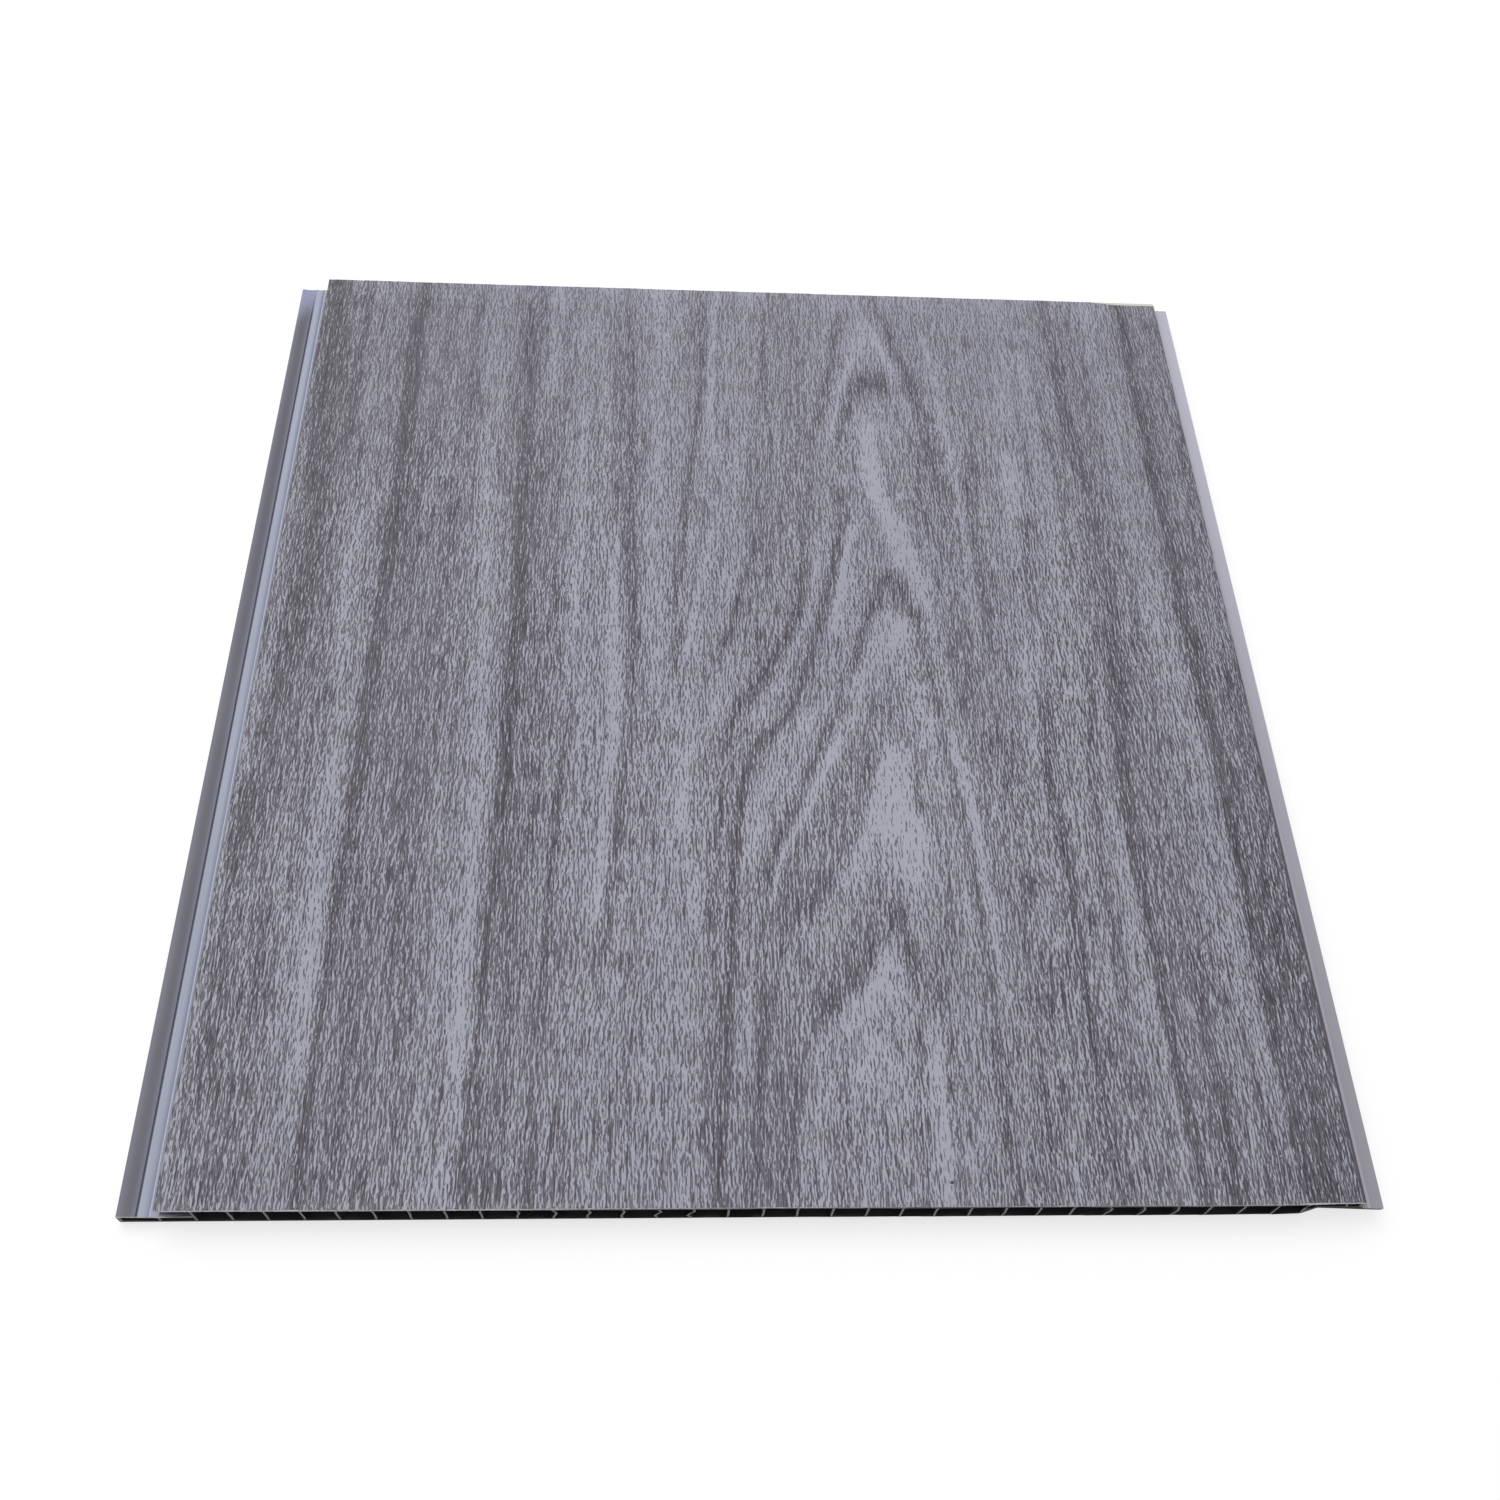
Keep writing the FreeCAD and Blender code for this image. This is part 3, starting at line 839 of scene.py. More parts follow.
heart_grain = [
    (0.12, 3, 0.8, (-16, 275), (-14, 245), (-17, 208), (-19, 180)),
    (-0.34, 3.2, 2.8, (2, 275), (-2, 235), (-4, 205), (-8, 175), (-13, 150), (-19, 128)),
    (-0.26, 2.0, 2.0, (-19, 134), (-23, 105), (-25, 60), (-25, 0)),
    (-0.25, 1.5, 1.5, (-4, 150), (-9, 128), (-10, 112)),
    (0.20, 2.4, 2.4, (-12, 66), (-13, 0)),
    (0.30, 3.5, 3.5, (54, 168), (54, 135), (53, 98)),
    (0.42, 0.9, 0.7, (-14, 275), (-14, 240), (-17, 207), (-19.3, 178), (-21.5, 152), (-20, 130)),
    (-0.45, 1.0, 1.0, (-9.5, 275), (-11.2, 245), (-11.8, 218), (-9.5, 202)),
    (-0.45, 0.8, 0.8, (-11.5, 187), (-14, 166), (-16.5, 153), (-19, 134)),
    (-0.35, 0.9, 0.9, (-17, 184), (-17.5, 170)),
    (-0.28, 0.8, 0.8, (-5, 265), (-6.5, 240), (-7.5, 222)),
    (-0.60, 1.5, 1.3, (-17.5, 117), (-19.2, 104), (-19.8, 84)),
    (-0.35, 1.4, 1.2, (-16, 82), (-16.5, 60)),
    (0.30, 0.6, 0.6, (-13, 195), (-14.5, 176)),
    (0.50, 0.7, 0.8, (4.5, 262), (4.2, 245), (3, 226)),
    (0.32, 0.7, 0.7, (5.5, 224), (5, 212), (4, 199)),
    (0.28, 1.6, 1.6, (-0.5, 216), (-1, 200), (-2, 180)),
    (0.50, 0.8, 0.8, (1, 184), (-1, 172), (-5, 157), (-9, 141), (-10, 132)),
    (-0.22, 0.8, 0.8, (-2, 178), (-6, 165), (-9, 150)),
    (0.32, 0.6, 0.6, (8, 227), (8.5, 205), (8.3, 193)),
    (-0.32, 0.8, 0.8, (7.5, 232), (7.5, 215), (6.5, 204)),
    (0.16, 6, 6, (13, 245), (12, 215), (8, 190), (6, 165)),
    (0.22, 1.5, 1.5, (17, 222), (16, 207), (15, 184)),
    (0.70, 1.2, 1.0, (14.5, 176), (12, 162), (9.5, 150), (4, 139), (0, 131), (-5, 124),
     (-8, 115), (-9.3, 104)),
    (0.45, 0.8, 0.8, (-9, 106), (-10, 92), (-12, 74), (-12.4, 58)),
    (0.78, 1.0, 1.0, (25, 192), (21.8, 172), (16.5, 152), (11.5, 134), (6.5, 121), (0, 113),
     (-4, 104), (-6.5, 88), (-7.6, 66), (-8.6, 46), (-10, 28), (-11.5, 0)),
    (0.30, 2.2, 1.4, (3.5, 118), (-2, 109)),
    (-0.25, 1.0, 1.0, (18, 187), (15.5, 165), (12, 148), (6, 133), (0, 122), (-4, 114)),
    (-0.34, 2.0, 1.6, (6, 111), (1, 101), (-1.5, 88), (-3, 75)),
    (-0.68, 1.0, 1.7, (27.6, 191), (24.8, 178), (21.6, 160), (18.4, 141)),
    (-0.30, 1.2, 1.2, (15, 128), (11, 118), (8, 108)),
    (0.38, 0.9, 0.9, (29, 234), (26, 222), (22, 205)),
    (0.42, 1.0, 1.0, (28, 272), (24.5, 250), (20.5, 229), (17.5, 214)),
    (-0.34, 0.9, 0.9, (30, 253), (28.5, 243), (24.5, 230), (21.3, 209)),
    (-0.35, 2.2, 2.2, (33, 270), (33, 258), (31, 247)),
    (-0.62, 1.4, 1.2, (35.5, 266), (38.3, 253), (41.5, 243), (44.5, 228), (46.5, 213)),
    (0.32, 2.0, 0.8, (38, 275), (44, 250), (48.5, 230), (51, 208), (54, 188)),
    (0.25, 1.5, 1.5, (46.5, 243), (47.5, 229)),
    (0.50, 3.2, 2.4, (28, 229), (31, 236), (35.5, 239.5), (40, 236), (43, 228)),
    (0.22, 1.0, 1.0, (43, 228), (46, 207), (48, 190)),
    (-0.80, 2.0, 1.7, (32.8, 229), (33.2, 214), (33.6, 199), (36.8, 186), (41.5, 170), (45, 152)),
    (-0.30, 2.0, 2.0, (37, 190), (40, 176)),
    (-0.20, 1.5, 1.5, (39.5, 225), (41, 205)),
    (0.60, 1.0, 1.0, (-3.5, 4), (-2, 40), (-0.6, 62), (2.8, 84), (10, 102), (19, 122), (24.6, 139),
     (30.5, 157), (36, 166.5), (40.5, 155), (43, 138), (45.3, 116), (48, 90), (51, 60)),
    (0.50, 1.8, 3.0, (31, 158), (36, 164.5), (40, 155)),
    (-0.72, 0.7, 0.8, (0.9, 66), (3.5, 80), (9.5, 92), (15.2, 105), (20.5, 119)),
    (0.18, 3, 3, (13, 82), (19, 96), (24, 112)),
    (-0.35, 1.4, 1.4, (22, 124), (26, 138)),
    (-0.66, 3.0, 2.8, (35.5, 157), (36, 149), (36.5, 139)),
    (-0.20, 3, 3, (33, 148), (31, 138), (33, 130)),
    (-0.55, 0.9, 0.9, (45.5, 123), (50, 100), (52, 74), (52.6, 58), (55, 38)),
    (-0.30, 1.6, 1.6, (42, 134), (43, 112)),
    (0.46, 4.5, 0.7, (1.5, 52), (5, 62), (11, 69.5), (18, 77), (23.6, 91), (26.6, 106), (32.5, 119.5)),
    (0.34, 3.0, 3.0, (1, 62), (6, 78), (12, 90), (19, 104), (27, 119)),
    (-0.22, 2.0, 2.0, (19, 84), (22, 96), (24, 104)),
    (-0.26, 1.6, 1.6, (29.5, 58), (28.5, 38), (28, 12)),
    (0.42, 1.4, 0.8, (-4, 0), (-2.6, 24), (0.4, 44), (2.5, 56)),
    (0.45, 1.6, 0.8, (31, 119.5), (35, 116), (38, 100), (38.6, 92)),
    (-0.95, 2.9, 2.4, (33, 116), (31.8, 105), (32.2, 94), (35, 84), (35.8, 70)),
    (-0.62, 1.6, 2.2, (28.6, 104), (26, 92), (21.5, 80), (15, 70)),
    (-0.45, 1.8, 1.4, (36.6, 98), (37.8, 86), (36.6, 74)),
    (-0.30, 3, 3, (30, 98), (29, 84)),
    (0.64, 3.2, 0.8, (9, 36), (13, 42), (18, 48.5), (23, 57), (29.5, 66)),
    (0.50, 2.0, 0.8, (3, 0), (5, 18), (7, 31), (9.5, 38)),
    (0.56, 1.6, 0.9, (29.5, 67), (32.8, 60), (35, 47)),
    (0.45, 3.2, 2.4, (26, 66), (30, 67.5), (33, 62)),
    (0.14, 3.5, 3.5, (22, 70), (26, 75)),
    (-0.70, 2.0, 1.7, (28.6, 62), (25.5, 50), (19, 41), (12, 34)),
    (-0.30, 7, 6, (21, 44), (20, 18)),
    (-0.12, 7, 6, (20, 30), (19, 0)),
    (0.38, 0.7, 0.7, (34, 42), (32, 20), (31.5, 0)),
    (-0.58, 1.5, 1.7, (36.4, 46), (36.6, 28), (36.4, 0)),
    (0.28, 0.8, 0.8, (38.6, 38), (39.6, 0)),
    (0.28, 0.8, 0.8, (43, 76), (42.5, 50)),
    (0.50, 0.9, 0.9, (48, 44), (50, 30), (50.8, 0)),
    (0.16, 3, 3, (1, 40), (-1, 0)),
    (-0.26, 3.0, 3.0, (7, 238), (7, 192)),
    (-0.14, 6.0, 6.0, (-3, 228), (-3, 168)),
    (-0.20, 1.8, 1.8, (-21, 162), (-19, 130), (-13, 102)),
    (-0.22, 1.1, 1.1, (-1.5, 152), (-7, 126)),
    (-0.36, 2.8, 2.8, (34.5, 122), (33.5, 90)),
    (-0.20, 2.8, 2.8, (20, 114), (20, 93)),
    (-0.32, 2.0, 2.0, (35, 82), (36, 60)),
    (-0.22, 1.5, 1.5, (41, 209), (41, 190)),
    (-0.20, 2.4, 2.4, (37, 192), (40.5, 162)),
    (0.22, 1.2, 1.2, (13.5, 197), (11, 163)),
    (0.32, 1.3, 1.3, (50, 72), (50, 33)),
    (0.26, 1.4, 1.2, (10, 98), (4, 82), (1.5, 58)),
    (0.22, 1.8, 1.8, (18, 45), (27, 62)),
    (0.22, 1.2, 1.2, (38, 62), (40, 20)),
    (0.22, 1.5, 1.5, (20.5, 184), (25, 198)),
    (0.24, 1.2, 1.2, (46, 234), (46, 216)),
    (0.22, 1.1, 1.1, (-20, 156), (-21, 134)),
    (0.20, 1.6, 1.6, (-10.5, 50), (-9, 18)),
    (-0.14, 3.5, 3.5, (-18, 102), (-18, 58)),
    (-0.16, 2.2, 2.2, (22, 52), (24, 28)),
    (0.14, 2.6, 2.6, (-6, 108), (-4, 92)),
    (-0.34, 2.8, 2.8, (33.5, 118), (32, 88)),
    (-0.22, 3.0, 3.0, (20, 94), (15, 66)),
    (-0.24, 1.0, 1.0, (1.6, 82), (-0.3, 58)),
    (-0.22, 1.6, 1.6, (28.6, 62), (26, 43)),
    (-0.20, 2.4, 2.4, (-12, 137), (-10, 106)),
    (-0.20, 2.0, 2.0, (6, 270), (6, 230)),
    (-0.20, 2.4, 2.4, (30, 256), (33, 238)),
    (-0.20, 0.8, 0.8, (-21.6, 158), (-22.2, 140)),
    (0.24, 0.7, 0.7, (-19.4, 157), (-20.5, 139)),
    (0.22, 3.0, 2.4, (27, 118), (32, 127), (38, 123)),
    (0.20, 2.4, 2.4, (33, 163), (35, 154)),
    (0.22, 1.5, 1.5, (24, 222), (29, 233), (36, 236), (43, 230), (46, 219)),
    (0.22, 1.2, 1.2, (8.5, 94), (4.2, 72), (2.4, 54)),
    (0.20, 2.0, 2.0, (5, 35), (12, 42), (18, 46)),
    (0.20, 1.5, 1.5, (50, 154), (50, 116)),
    (0.20, 1.1, 1.1, (14.5, 194), (13.3, 168)),
    (-0.40, 1.0, 1.0, (-4, 48), (-3.2, 25), (-3.4, 0)),
    (-0.26, 1.5, 1.5, (-15, 62), (-15, 28)),
    (-0.35, 1.8, 1.8, (19, 110), (21.5, 100), (20.5, 88)),
    (0.24, 1.2, 1.2, (27.5, 122), (27, 98)),
    (0.22, 2.0, 1.6, (29.5, 121), (35, 120)),
    (0.18, 2.0, 2.0, (33, 94), (34, 76)),
    (0.28, 2.6, 2.6, (56, 96), (56, 68)),
    (0.16, 1.2, 1.2, (51, 70), (51, 38)),
    (0.26, 1.3, 1.3, (-21.5, 116), (-21, 90)),
    (0.22, 1.2, 1.2, (-0.5, 114), (0.5, 95)),
    (-0.20, 2.0, 2.0, (8.5, 112), (6.5, 92)),
    (-0.28, 1.8, 1.8, (-5, 133), (-4, 116)),
    (-0.20, 2.0, 2.0, (-17, 135), (-16, 118)),
    (0.20, 1.2, 1.2, (6.5, 44), (6, 28)),
    (0.18, 2.0, 2.0, (21, 30), (20.5, 0)),
    (-0.20, 1.4, 1.4, (27.3, 34), (27.3, 0)),
    (-0.20, 1.2, 1.2, (33, 36), (33, 0)),
    (-0.24, 2.0, 2.0, (30.5, 62), (30.5, 40)),
    (-0.20, 1.3, 1.3, (42, 26), (42, 0)),
    (-0.18, 1.8, 1.8, (46.5, 52), (45.5, 28)),
    (-0.18, 1.6, 1.6, (54, 34), (54, 6)),
    (-0.24, 1.1, 1.1, (3.3, 84), (2.5, 66)),
    (0.24, 1.0, 1.0, (3.4, 64), (3.2, 48)),
    (-0.22, 1.0, 1.0, (-0.3, 72), (-0.3, 40)),
    (-0.22, 1.0, 1.0, (-6, 70), (-6, 50)),
    (-0.24, 1.5, 1.5, (17, 75), (18.5, 56)),
    (-0.16, 2.0, 2.0, (-21.5, 70), (-22, 45)),
    (0.20, 1.4, 1.4, (27, 69), (27, 57)),
    (0.20, 1.5, 1.5, (12, 16), (12.5, 0)),
    (0.16, 2.0, 2.0, (4.5, 20), (4, 0)),
    (-0.24, 1.8, 1.8, (-12, 91), (-11.5, 76)),
    (-0.20, 1.6, 1.6, (24.5, 132), (26, 120)),
    (-0.16, 1.8, 1.8, (41, 114), (42, 92)),
    (-0.14, 1.3, 1.3, (-14.5, 275), (-14, 243)),
    (0.18, 1.3, 1.3, (3.5, 275), (1.5, 240)),
    (-0.22, 1.4, 1.4, (-1.5, 48), (-2, 20)),
    (-0.15, 1.3, 1.3, (-1.5, 184), (-1.5, 160)),
]
far_grain = [
    (0.32, 0.8, 0.8, (57, 74), (59, 58), (60, 40), (59, 0)),
    (0.20, 0.6, 0.6, (55, 265), (56.8, 235), (58.2, 204)),
    (-0.22, 1.5, 1.5, (70, 208), (70, 165)),
    (0.52, 0.8, 0.8, (58.8, 206), (59.6, 175), (60.3, 155), (60, 132)),
    (0.42, 1.0, 1.0, (60, 128), (60.3, 92)),
    (0.42, 1.0, 1.0, (61, 84), (61.5, 64)),
    (0.34, 1.0, 1.0, (63.5, 222), (62, 205), (62.5, 186)),
    (0.32, 1.2, 1.2, (65, 54), (68, 42)),
    (-0.34, 0.9, 0.9, (51.5, 275), (53, 246), (55.5, 215), (57, 196), (57.5, 140)),
    (-0.38, 1.0, 1.0, (64.5, 200), (63.5, 180)),
    (-0.38, 1.2, 1.2, (68.5, 146), (67.5, 122), (67.5, 104)),
    (-0.50, 0.9, 0.9, (64.5, 72), (64, 56)),
    (-0.30, 0.9, 0.9, (64, 18), (63.5, 0)),
    (-0.26, 2.2, 2.2, (75, 275), (74.5, 235), (72.5, 212)),
    (-0.46, 2.0, 2.0, (72.5, 216), (72.5, 188)),
    (0.42, 0.9, 0.9, (76.5, 192), (73, 175), (72.2, 164), (74.5, 149)),
    (0.68, 0.9, 0.8, (74, 131), (71.4, 116), (70.6, 100), (71.8, 80), (72, 45), (73, 0)),
    (0.14, 3, 3, (76, 50), (77, 0)),
    (0.34, 0.8, 0.8, (80, 275), (83, 250), (84.7, 220), (86.5, 186)),
    (0.20, 0.8, 0.8, (77.5, 262), (77, 205)),
    (0.40, 0.9, 0.9, (85.4, 148), (84.5, 128), (81.8, 112), (80.5, 90), (80, 40)),
    (-0.38, 1.6, 1.6, (82.5, 106), (84.5, 84), (85.8, 60), (85.5, 38)),
    (-0.28, 1.5, 1.5, (80.8, 250), (82, 200), (81, 150)),
    (0.28, 4.2, 4.2, (93, 275), (93.5, 225), (94, 182), (94, 150), (93, 118)),
    (0.26, 1.3, 1.3, (90, 275), (91.5, 225), (93.5, 195), (94.2, 168), (93.5, 140)),
    (0.42, 1.5, 1.5, (91.6, 156), (91.2, 135), (90, 114)),
    (0.85, 1.0, 1.2, (89.6, 121), (88.2, 85), (89.2, 40), (90.4, 0)),
    (0.24, 0.5, 7, (89.2, 125), (88.2, 85), (89.3, 0)),
    (0.26, 0.8, 0.8, (99.4, 255), (99, 235), (100, 190), (100.5, 150), (100.5, 112)),
    (0.48, 1.0, 1.0, (96, 64), (97.6, 42), (98.2, 0)),
    (0.24, 0.8, 0.8, (106, 45), (107.5, 0)),
    (-0.22, 3.0, 3, (104, 275), (104, 200), (103.8, 170), (105, 128)),
    (0.20, 3.5, 3.5, (98, 135), (98, 40)),
    (0.22, 4, 3.5, (79, 50), (79, 0)),
    (0.72, 1.3, 1.4, (113.5, 275), (113, 230), (113, 195)),
    (0.95, 1.1, 1.3, (113, 215), (113.2, 140), (114, 108), (113, 70), (113.2, 0)),
    (0.20, 3.5, 6, (119, 275), (119, 205), (119, 150)),
    (0.40, 3.2, 8, (119, 195), (119, 60), (119, 0)),
    (0.30, 1.5, 1.5, (124, 230), (123, 195)),
    (0.30, 1.4, 1.4, (118.5, 84), (118.5, 60), (118, 0)),
    (-0.20, 2.0, 2.0, (72, 202), (71, 150), (73, 126)),
    (-0.18, 1.8, 1.8, (75.5, 118), (75.5, 72)),
    (-0.26, 2.0, 2.0, (111, 122), (110, 60), (110, 14)),
    (-0.34, 3.0, 3.0, (123, 186), (122, 132)),
    (-0.26, 1.5, 1.5, (87, 52), (88, 0)),
    (0.25, 1.4, 1.4, (59, 217), (61, 180), (61, 148)),
    (0.24, 3.0, 3.0, (94, 148), (94, 92)),
    (0.28, 1.0, 1.0, (61, 102), (61, 42)),
    (0.22, 2.4, 2.4, (69, 32), (70, 0)),
    (0.22, 2.0, 2.0, (115, 236), (115, 203)),
    (0.22, 1.5, 1.5, (99.5, 60), (99.5, 33)),
    (0.16, 4.0, 4.0, (57, 130), (57, 88)),
    (-0.20, 1.0, 1.0, (55, 264), (57, 230)),
    (0.20, 1.0, 1.0, (65, 252), (66, 226)),
    (-0.22, 2.5, 2.5, (82, 272), (81, 233)),
    (0.20, 2.0, 2.0, (78, 116), (79, 93)),
    (0.16, 1.8, 1.8, (82, 64), (82, 36)),
    (0.16, 1.2, 1.2, (90, 252), (90.5, 198)),
    (0.22, 3.0, 3.0, (97, 40), (98, 0)),
    (0.17, 2.0, 2.0, (80, 108), (85, 60)),
    (0.16, 1.8, 1.8, (83, 32), (84.5, 0)),
    (0.18, 1.2, 1.2, (66.5, 137), (66.5, 105)),
    (0.20, 2.4, 2.4, (120, 275), (118, 258)),
    (-0.20, 3.0, 3.0, (113.5, 104), (113, 28)),
    (-0.16, 2.0, 2.0, (81, 275), (85.5, 190)),
    (-0.15, 2.0, 2.0, (95.5, 275), (93, 198)),
    (-0.14, 1.8, 1.8, (83, 174), (87.5, 104)),
    (-0.16, 1.7, 1.7, (70, 113), (75.5, 60)),
    (-0.16, 1.6, 1.6, (123, 228), (122, 178)),
    (-0.14, 1.3, 1.3, (89.5, 58), (90, 0)),
    (-0.15, 1.4, 1.4, (123.5, 112), (123, 57)),
    (-0.15, 1.8, 1.8, (69.5, 173), (71, 146)),
    (-0.15, 1.3, 1.3, (113, 179), (112, 145)),
    (-0.16, 1.2, 1.2, (58.5, 200), (59, 165)),
    (-0.16, 1.5, 1.5, (64, 186), (64, 158)),
]
# Lines that the year rings follow: the ring's number, which rises by about one a millimetre
# from both long edges to the heart of the figure, then points as above
flow_lines = [
    (0, (-125, 0), (-125, 275)),
    (28, (-98, 0), (-96.4, 80), (-96.8, 150), (-96, 275)),
    (62, (-64, 0), (-62, 90), (-62.5, 190), (-62.5, 275)),
    (90, (-36, 0), (-36.5, 50), (-33.5, 95), (-31, 135), (-35, 205), (-38, 275)),
    (103, (-24, 0), (-25, 60), (-24, 105), (-20, 130), (-21.5, 152), (-17, 207), (-14, 240),
     (-14, 275)),
    (110, (-17, 0), (-18, 60), (-17, 100), (-11, 130), (-5, 157), (1, 184), (3, 226), (4.5, 275)),
    (115, (-13, 0), (-12.4, 62), (-8, 112), (0, 131), (9.5, 152), (15, 192), (20.5, 229), (29, 272),
     (33, 280), (38, 272), (44, 248), (51, 208), (55, 180), (56, 140), (57, 100), (54, 50),
     (53, 0)),
    (118, (-11.5, 0), (-7.6, 66), (-4, 103), (6, 121), (16.5, 150), (25.5, 194), (32, 204),
     (38, 192), (45, 168), (48, 145), (51, 120), (53, 90), (52, 0)),
    (121, (-7, 0), (-2, 40), (3.5, 84), (11, 104), (25, 139), (36, 166.5), (43, 138), (48, 90),
     (50, 50), (51, 0)),
    (125, (-4, 0), (1, 50), (5, 63), (18, 77.5), (27.5, 107), (33, 119.5), (38.5, 97),
     (42, 60), (44, 0)),
    (130, (2.5, 0), (9, 37), (18, 48), (29.5, 65), (34.5, 49), (38, 20), (39, 0)),
    (140, (20, 0), (22, 35)),
    (102, (70, 0), (72.2, 80), (71, 112), (74, 131), (74.5, 149), (71.5, 164), (76, 192), (77, 275)),
    (86, (89.3, 0), (88.2, 85), (89.2, 120), (94, 160), (91, 225), (87, 275)),
    (61, (113.5, 0), (113, 70), (114.6, 108), (113, 200), (114, 275)),
    (49, (125, 0), (125, 275)),
]


def smooth_line(points, step=2.0):
    """A line through the given points, rounded at each of them."""
    knots = np.array(points, float)
    padded = np.vstack([2 * knots[0] - knots[1], knots, 2 * knots[-1] - knots[-2]])
    pieces = []
    for a, b, c, d in zip(padded, padded[1:], padded[2:], padded[3:]):
        count = max(2, int(np.hypot(*(c - b)) / step))
        t = np.arange(count)[:, None] / count
        pieces.append(0.5 * (2 * b + (c - a) * t + (2 * a - 5 * b + 4 * c - d) * t ** 2
                             + (3 * b - a - 3 * c + d) * t ** 3))
    pieces.append(knots[-1:])
    return np.vstack(pieces)


def nearest_on_line(path, x, y):
    """Distance to a line, side of it (positive on its left) and the way along it."""
    start, run = path[:-1], np.diff(path, axis=0)
    size = np.hypot(*run.T)
    before = np.concatenate([[0], np.cumsum(size)[:-1]])
    dx, dy = x[:, None] - start[:, 0], y[:, None] - start[:, 1]
    share = np.clip((dx * run[:, 0] + dy * run[:, 1]) / size ** 2, 0, 1)
    away_x, away_y = dx - share * run[:, 0], dy - share * run[:, 1]
    gap = np.hypot(away_x, away_y)
    nearest = gap.argmin(1)
    rows = np.arange(len(nearest))
    side = run[nearest, 0] * away_y[rows, nearest] - run[nearest, 1] * away_x[rows, nearest]
    along = before[nearest] + share[rows, nearest] * size[nearest]
    return gap[rows, nearest], side, along


def line_shade(x, y, darkness, left_fade, right_fade, *points):
    """Darkness that one grain line gives each place (x, y); it thins out at its free ends."""
    path = smooth_line(points)
    length = np.hypot(*np.diff(path, axis=0).T).sum()
    if path[-1, 1] - path[0, 1] < -0.5 * length:
        path = path[::-1]
    widest = max(left_fade, right_fade)
    reach = 3.0 * widest + 1
    low, high = path.min(0) - reach, path.max(0) + reach
    near = (x > low[0]) & (x < high[0]) & (y > low[1]) & (y < high[1])
    gap, side, along = nearest_on_line(path, x[near], y[near])
    fade = np.where(side > 0, left_fade, right_fade)
    taper = min(6.0 + 3.5 * widest, 0.42 * length)
    strength = 1.0
    for end, way in ((path[0], along), (path[-1], length - along)):
        if 1 < end[1] < far_cut - near_cut - 1:
            share = np.clip(way / taper, 0, 1)
            strength = strength * (share * share * (3 - 2 * share))
    out = np.zeros_like(x)
    out[near] = darkness * np.exp(-0.5 * (gap / fade) ** 2) * strength
    return out


def flow(x, y):
    """Number of the year ring at each place, from the flow lines."""
    top, bottom = np.zeros_like(x), np.zeros_like(x)
    for ring, *points in flow_lines:
        gap = nearest_on_line(smooth_line(points, 6.0), x, y)[0]
        weight = 1 / (gap * gap + 5.0)
        top += weight * ring
        bottom += weight
    return top / bottom


def lattice_noise(u, v, w, seed):
    """Smooth random values between -1 and 1 over three directions."""
    size = (64, 64, 8)
    table = np.random.default_rng(seed).uniform(-1, 1, size)
    places = np.array([u, v, w])
    cells = np.floor(places).astype(int)
    parts = places - cells
    parts = parts * parts * (3 - 2 * parts)
    total = 0
    for corner in np.ndindex(2, 2, 2):
        ahead = np.array(corner)[:, None]
        share = np.where(ahead == 1, parts, 1 - parts).prod(0)
        total = total + share * table[tuple((cells + ahead) % np.array(size)[:, None])]
    return total


def tone(x, y):
    """How dark the printed grain is at each place of the face, from 0 to 1."""
    total = np.full_like(x, -0.10)
    for group, gain in ((side_grain, 1.0), (heart_grain, 1.12), (far_grain, 1.0)):
        for line in group:
            total += gain * line_shade(x, y, *line)
    ring = flow(x, y)
    # thin rings at random between the placed ones: width, length, darkness and seed
    for width, length, amount, seed in ((5.0, 160, 0.10, 1), (2.6, 110, 0.18, 2), (1.5, 70, 0.15, 3)):
        total += amount * lattice_noise(ring / width, y / length, x / 60 + 5, seed)
    # the print pales over its last millimetres before the far cut
    total -= 0.25 * np.clip((y - 262) / 13, 0, 1)
    return 0.02 + 0.98 * (0.5 + 0.5 * np.tanh((0.68 * total - 0.06) / 0.5))


film_radius = 0.35
film_column = 0.65
film_row = 1.7
film_map = "OFBake"


def film_profile():
    """Outer side of the film across the panel as (x, z), and the outward direction there."""
    fold_level = panel_thickness - film_radius
    fold_left = face_left + film_radius
    fold_right = face_right - film_radius
    places, outward = [], []

    def put(x, z, direction):
        places.append((x, z))
        outward.append(direction)

    def put_fold(middle, turns):
        for turn in turns:
            across, up = math.cos(turn), math.sin(turn)
            put(middle + film_radius * across, fold_level + film_radius * up, (across, up))

    for z in (film_foot_left, (film_foot_left + fold_level) / 2):
        put(face_left, z, (-1, 0))
    put_fold(fold_left, np.linspace(math.pi, math.pi / 2, 5))
    columns = int((fold_right - fold_left) / film_column)
    for x in np.linspace(fold_left, fold_right, columns)[1:-1]:
        put(x, panel_thickness, (0, 1))
    put_fold(fold_right, np.linspace(math.pi / 2, 0, 5))
    for z in np.linspace(fold_level, film_foot_right, 5)[1:]:
        put(face_right, z, (1, 0))
    return np.array(places), np.array(outward)


def film_far_edge(x):
    """How far the film stays back from the far cut, where the saw tore it, most on the right."""
    rng = np.random.default_rng(12)
    torn = np.interp(x, np.linspace(face_left, face_right, 220), rng.uniform(0, 1, 220) ** 2)
    broad = np.interp(x, np.linspace(face_left, face_right, 26), rng.uniform(0, 1, 26))
    return 0.03 + 0.12 * torn + 0.10 * broad + 0.95 * np.clip((x - 107) / 8, 0, 1)


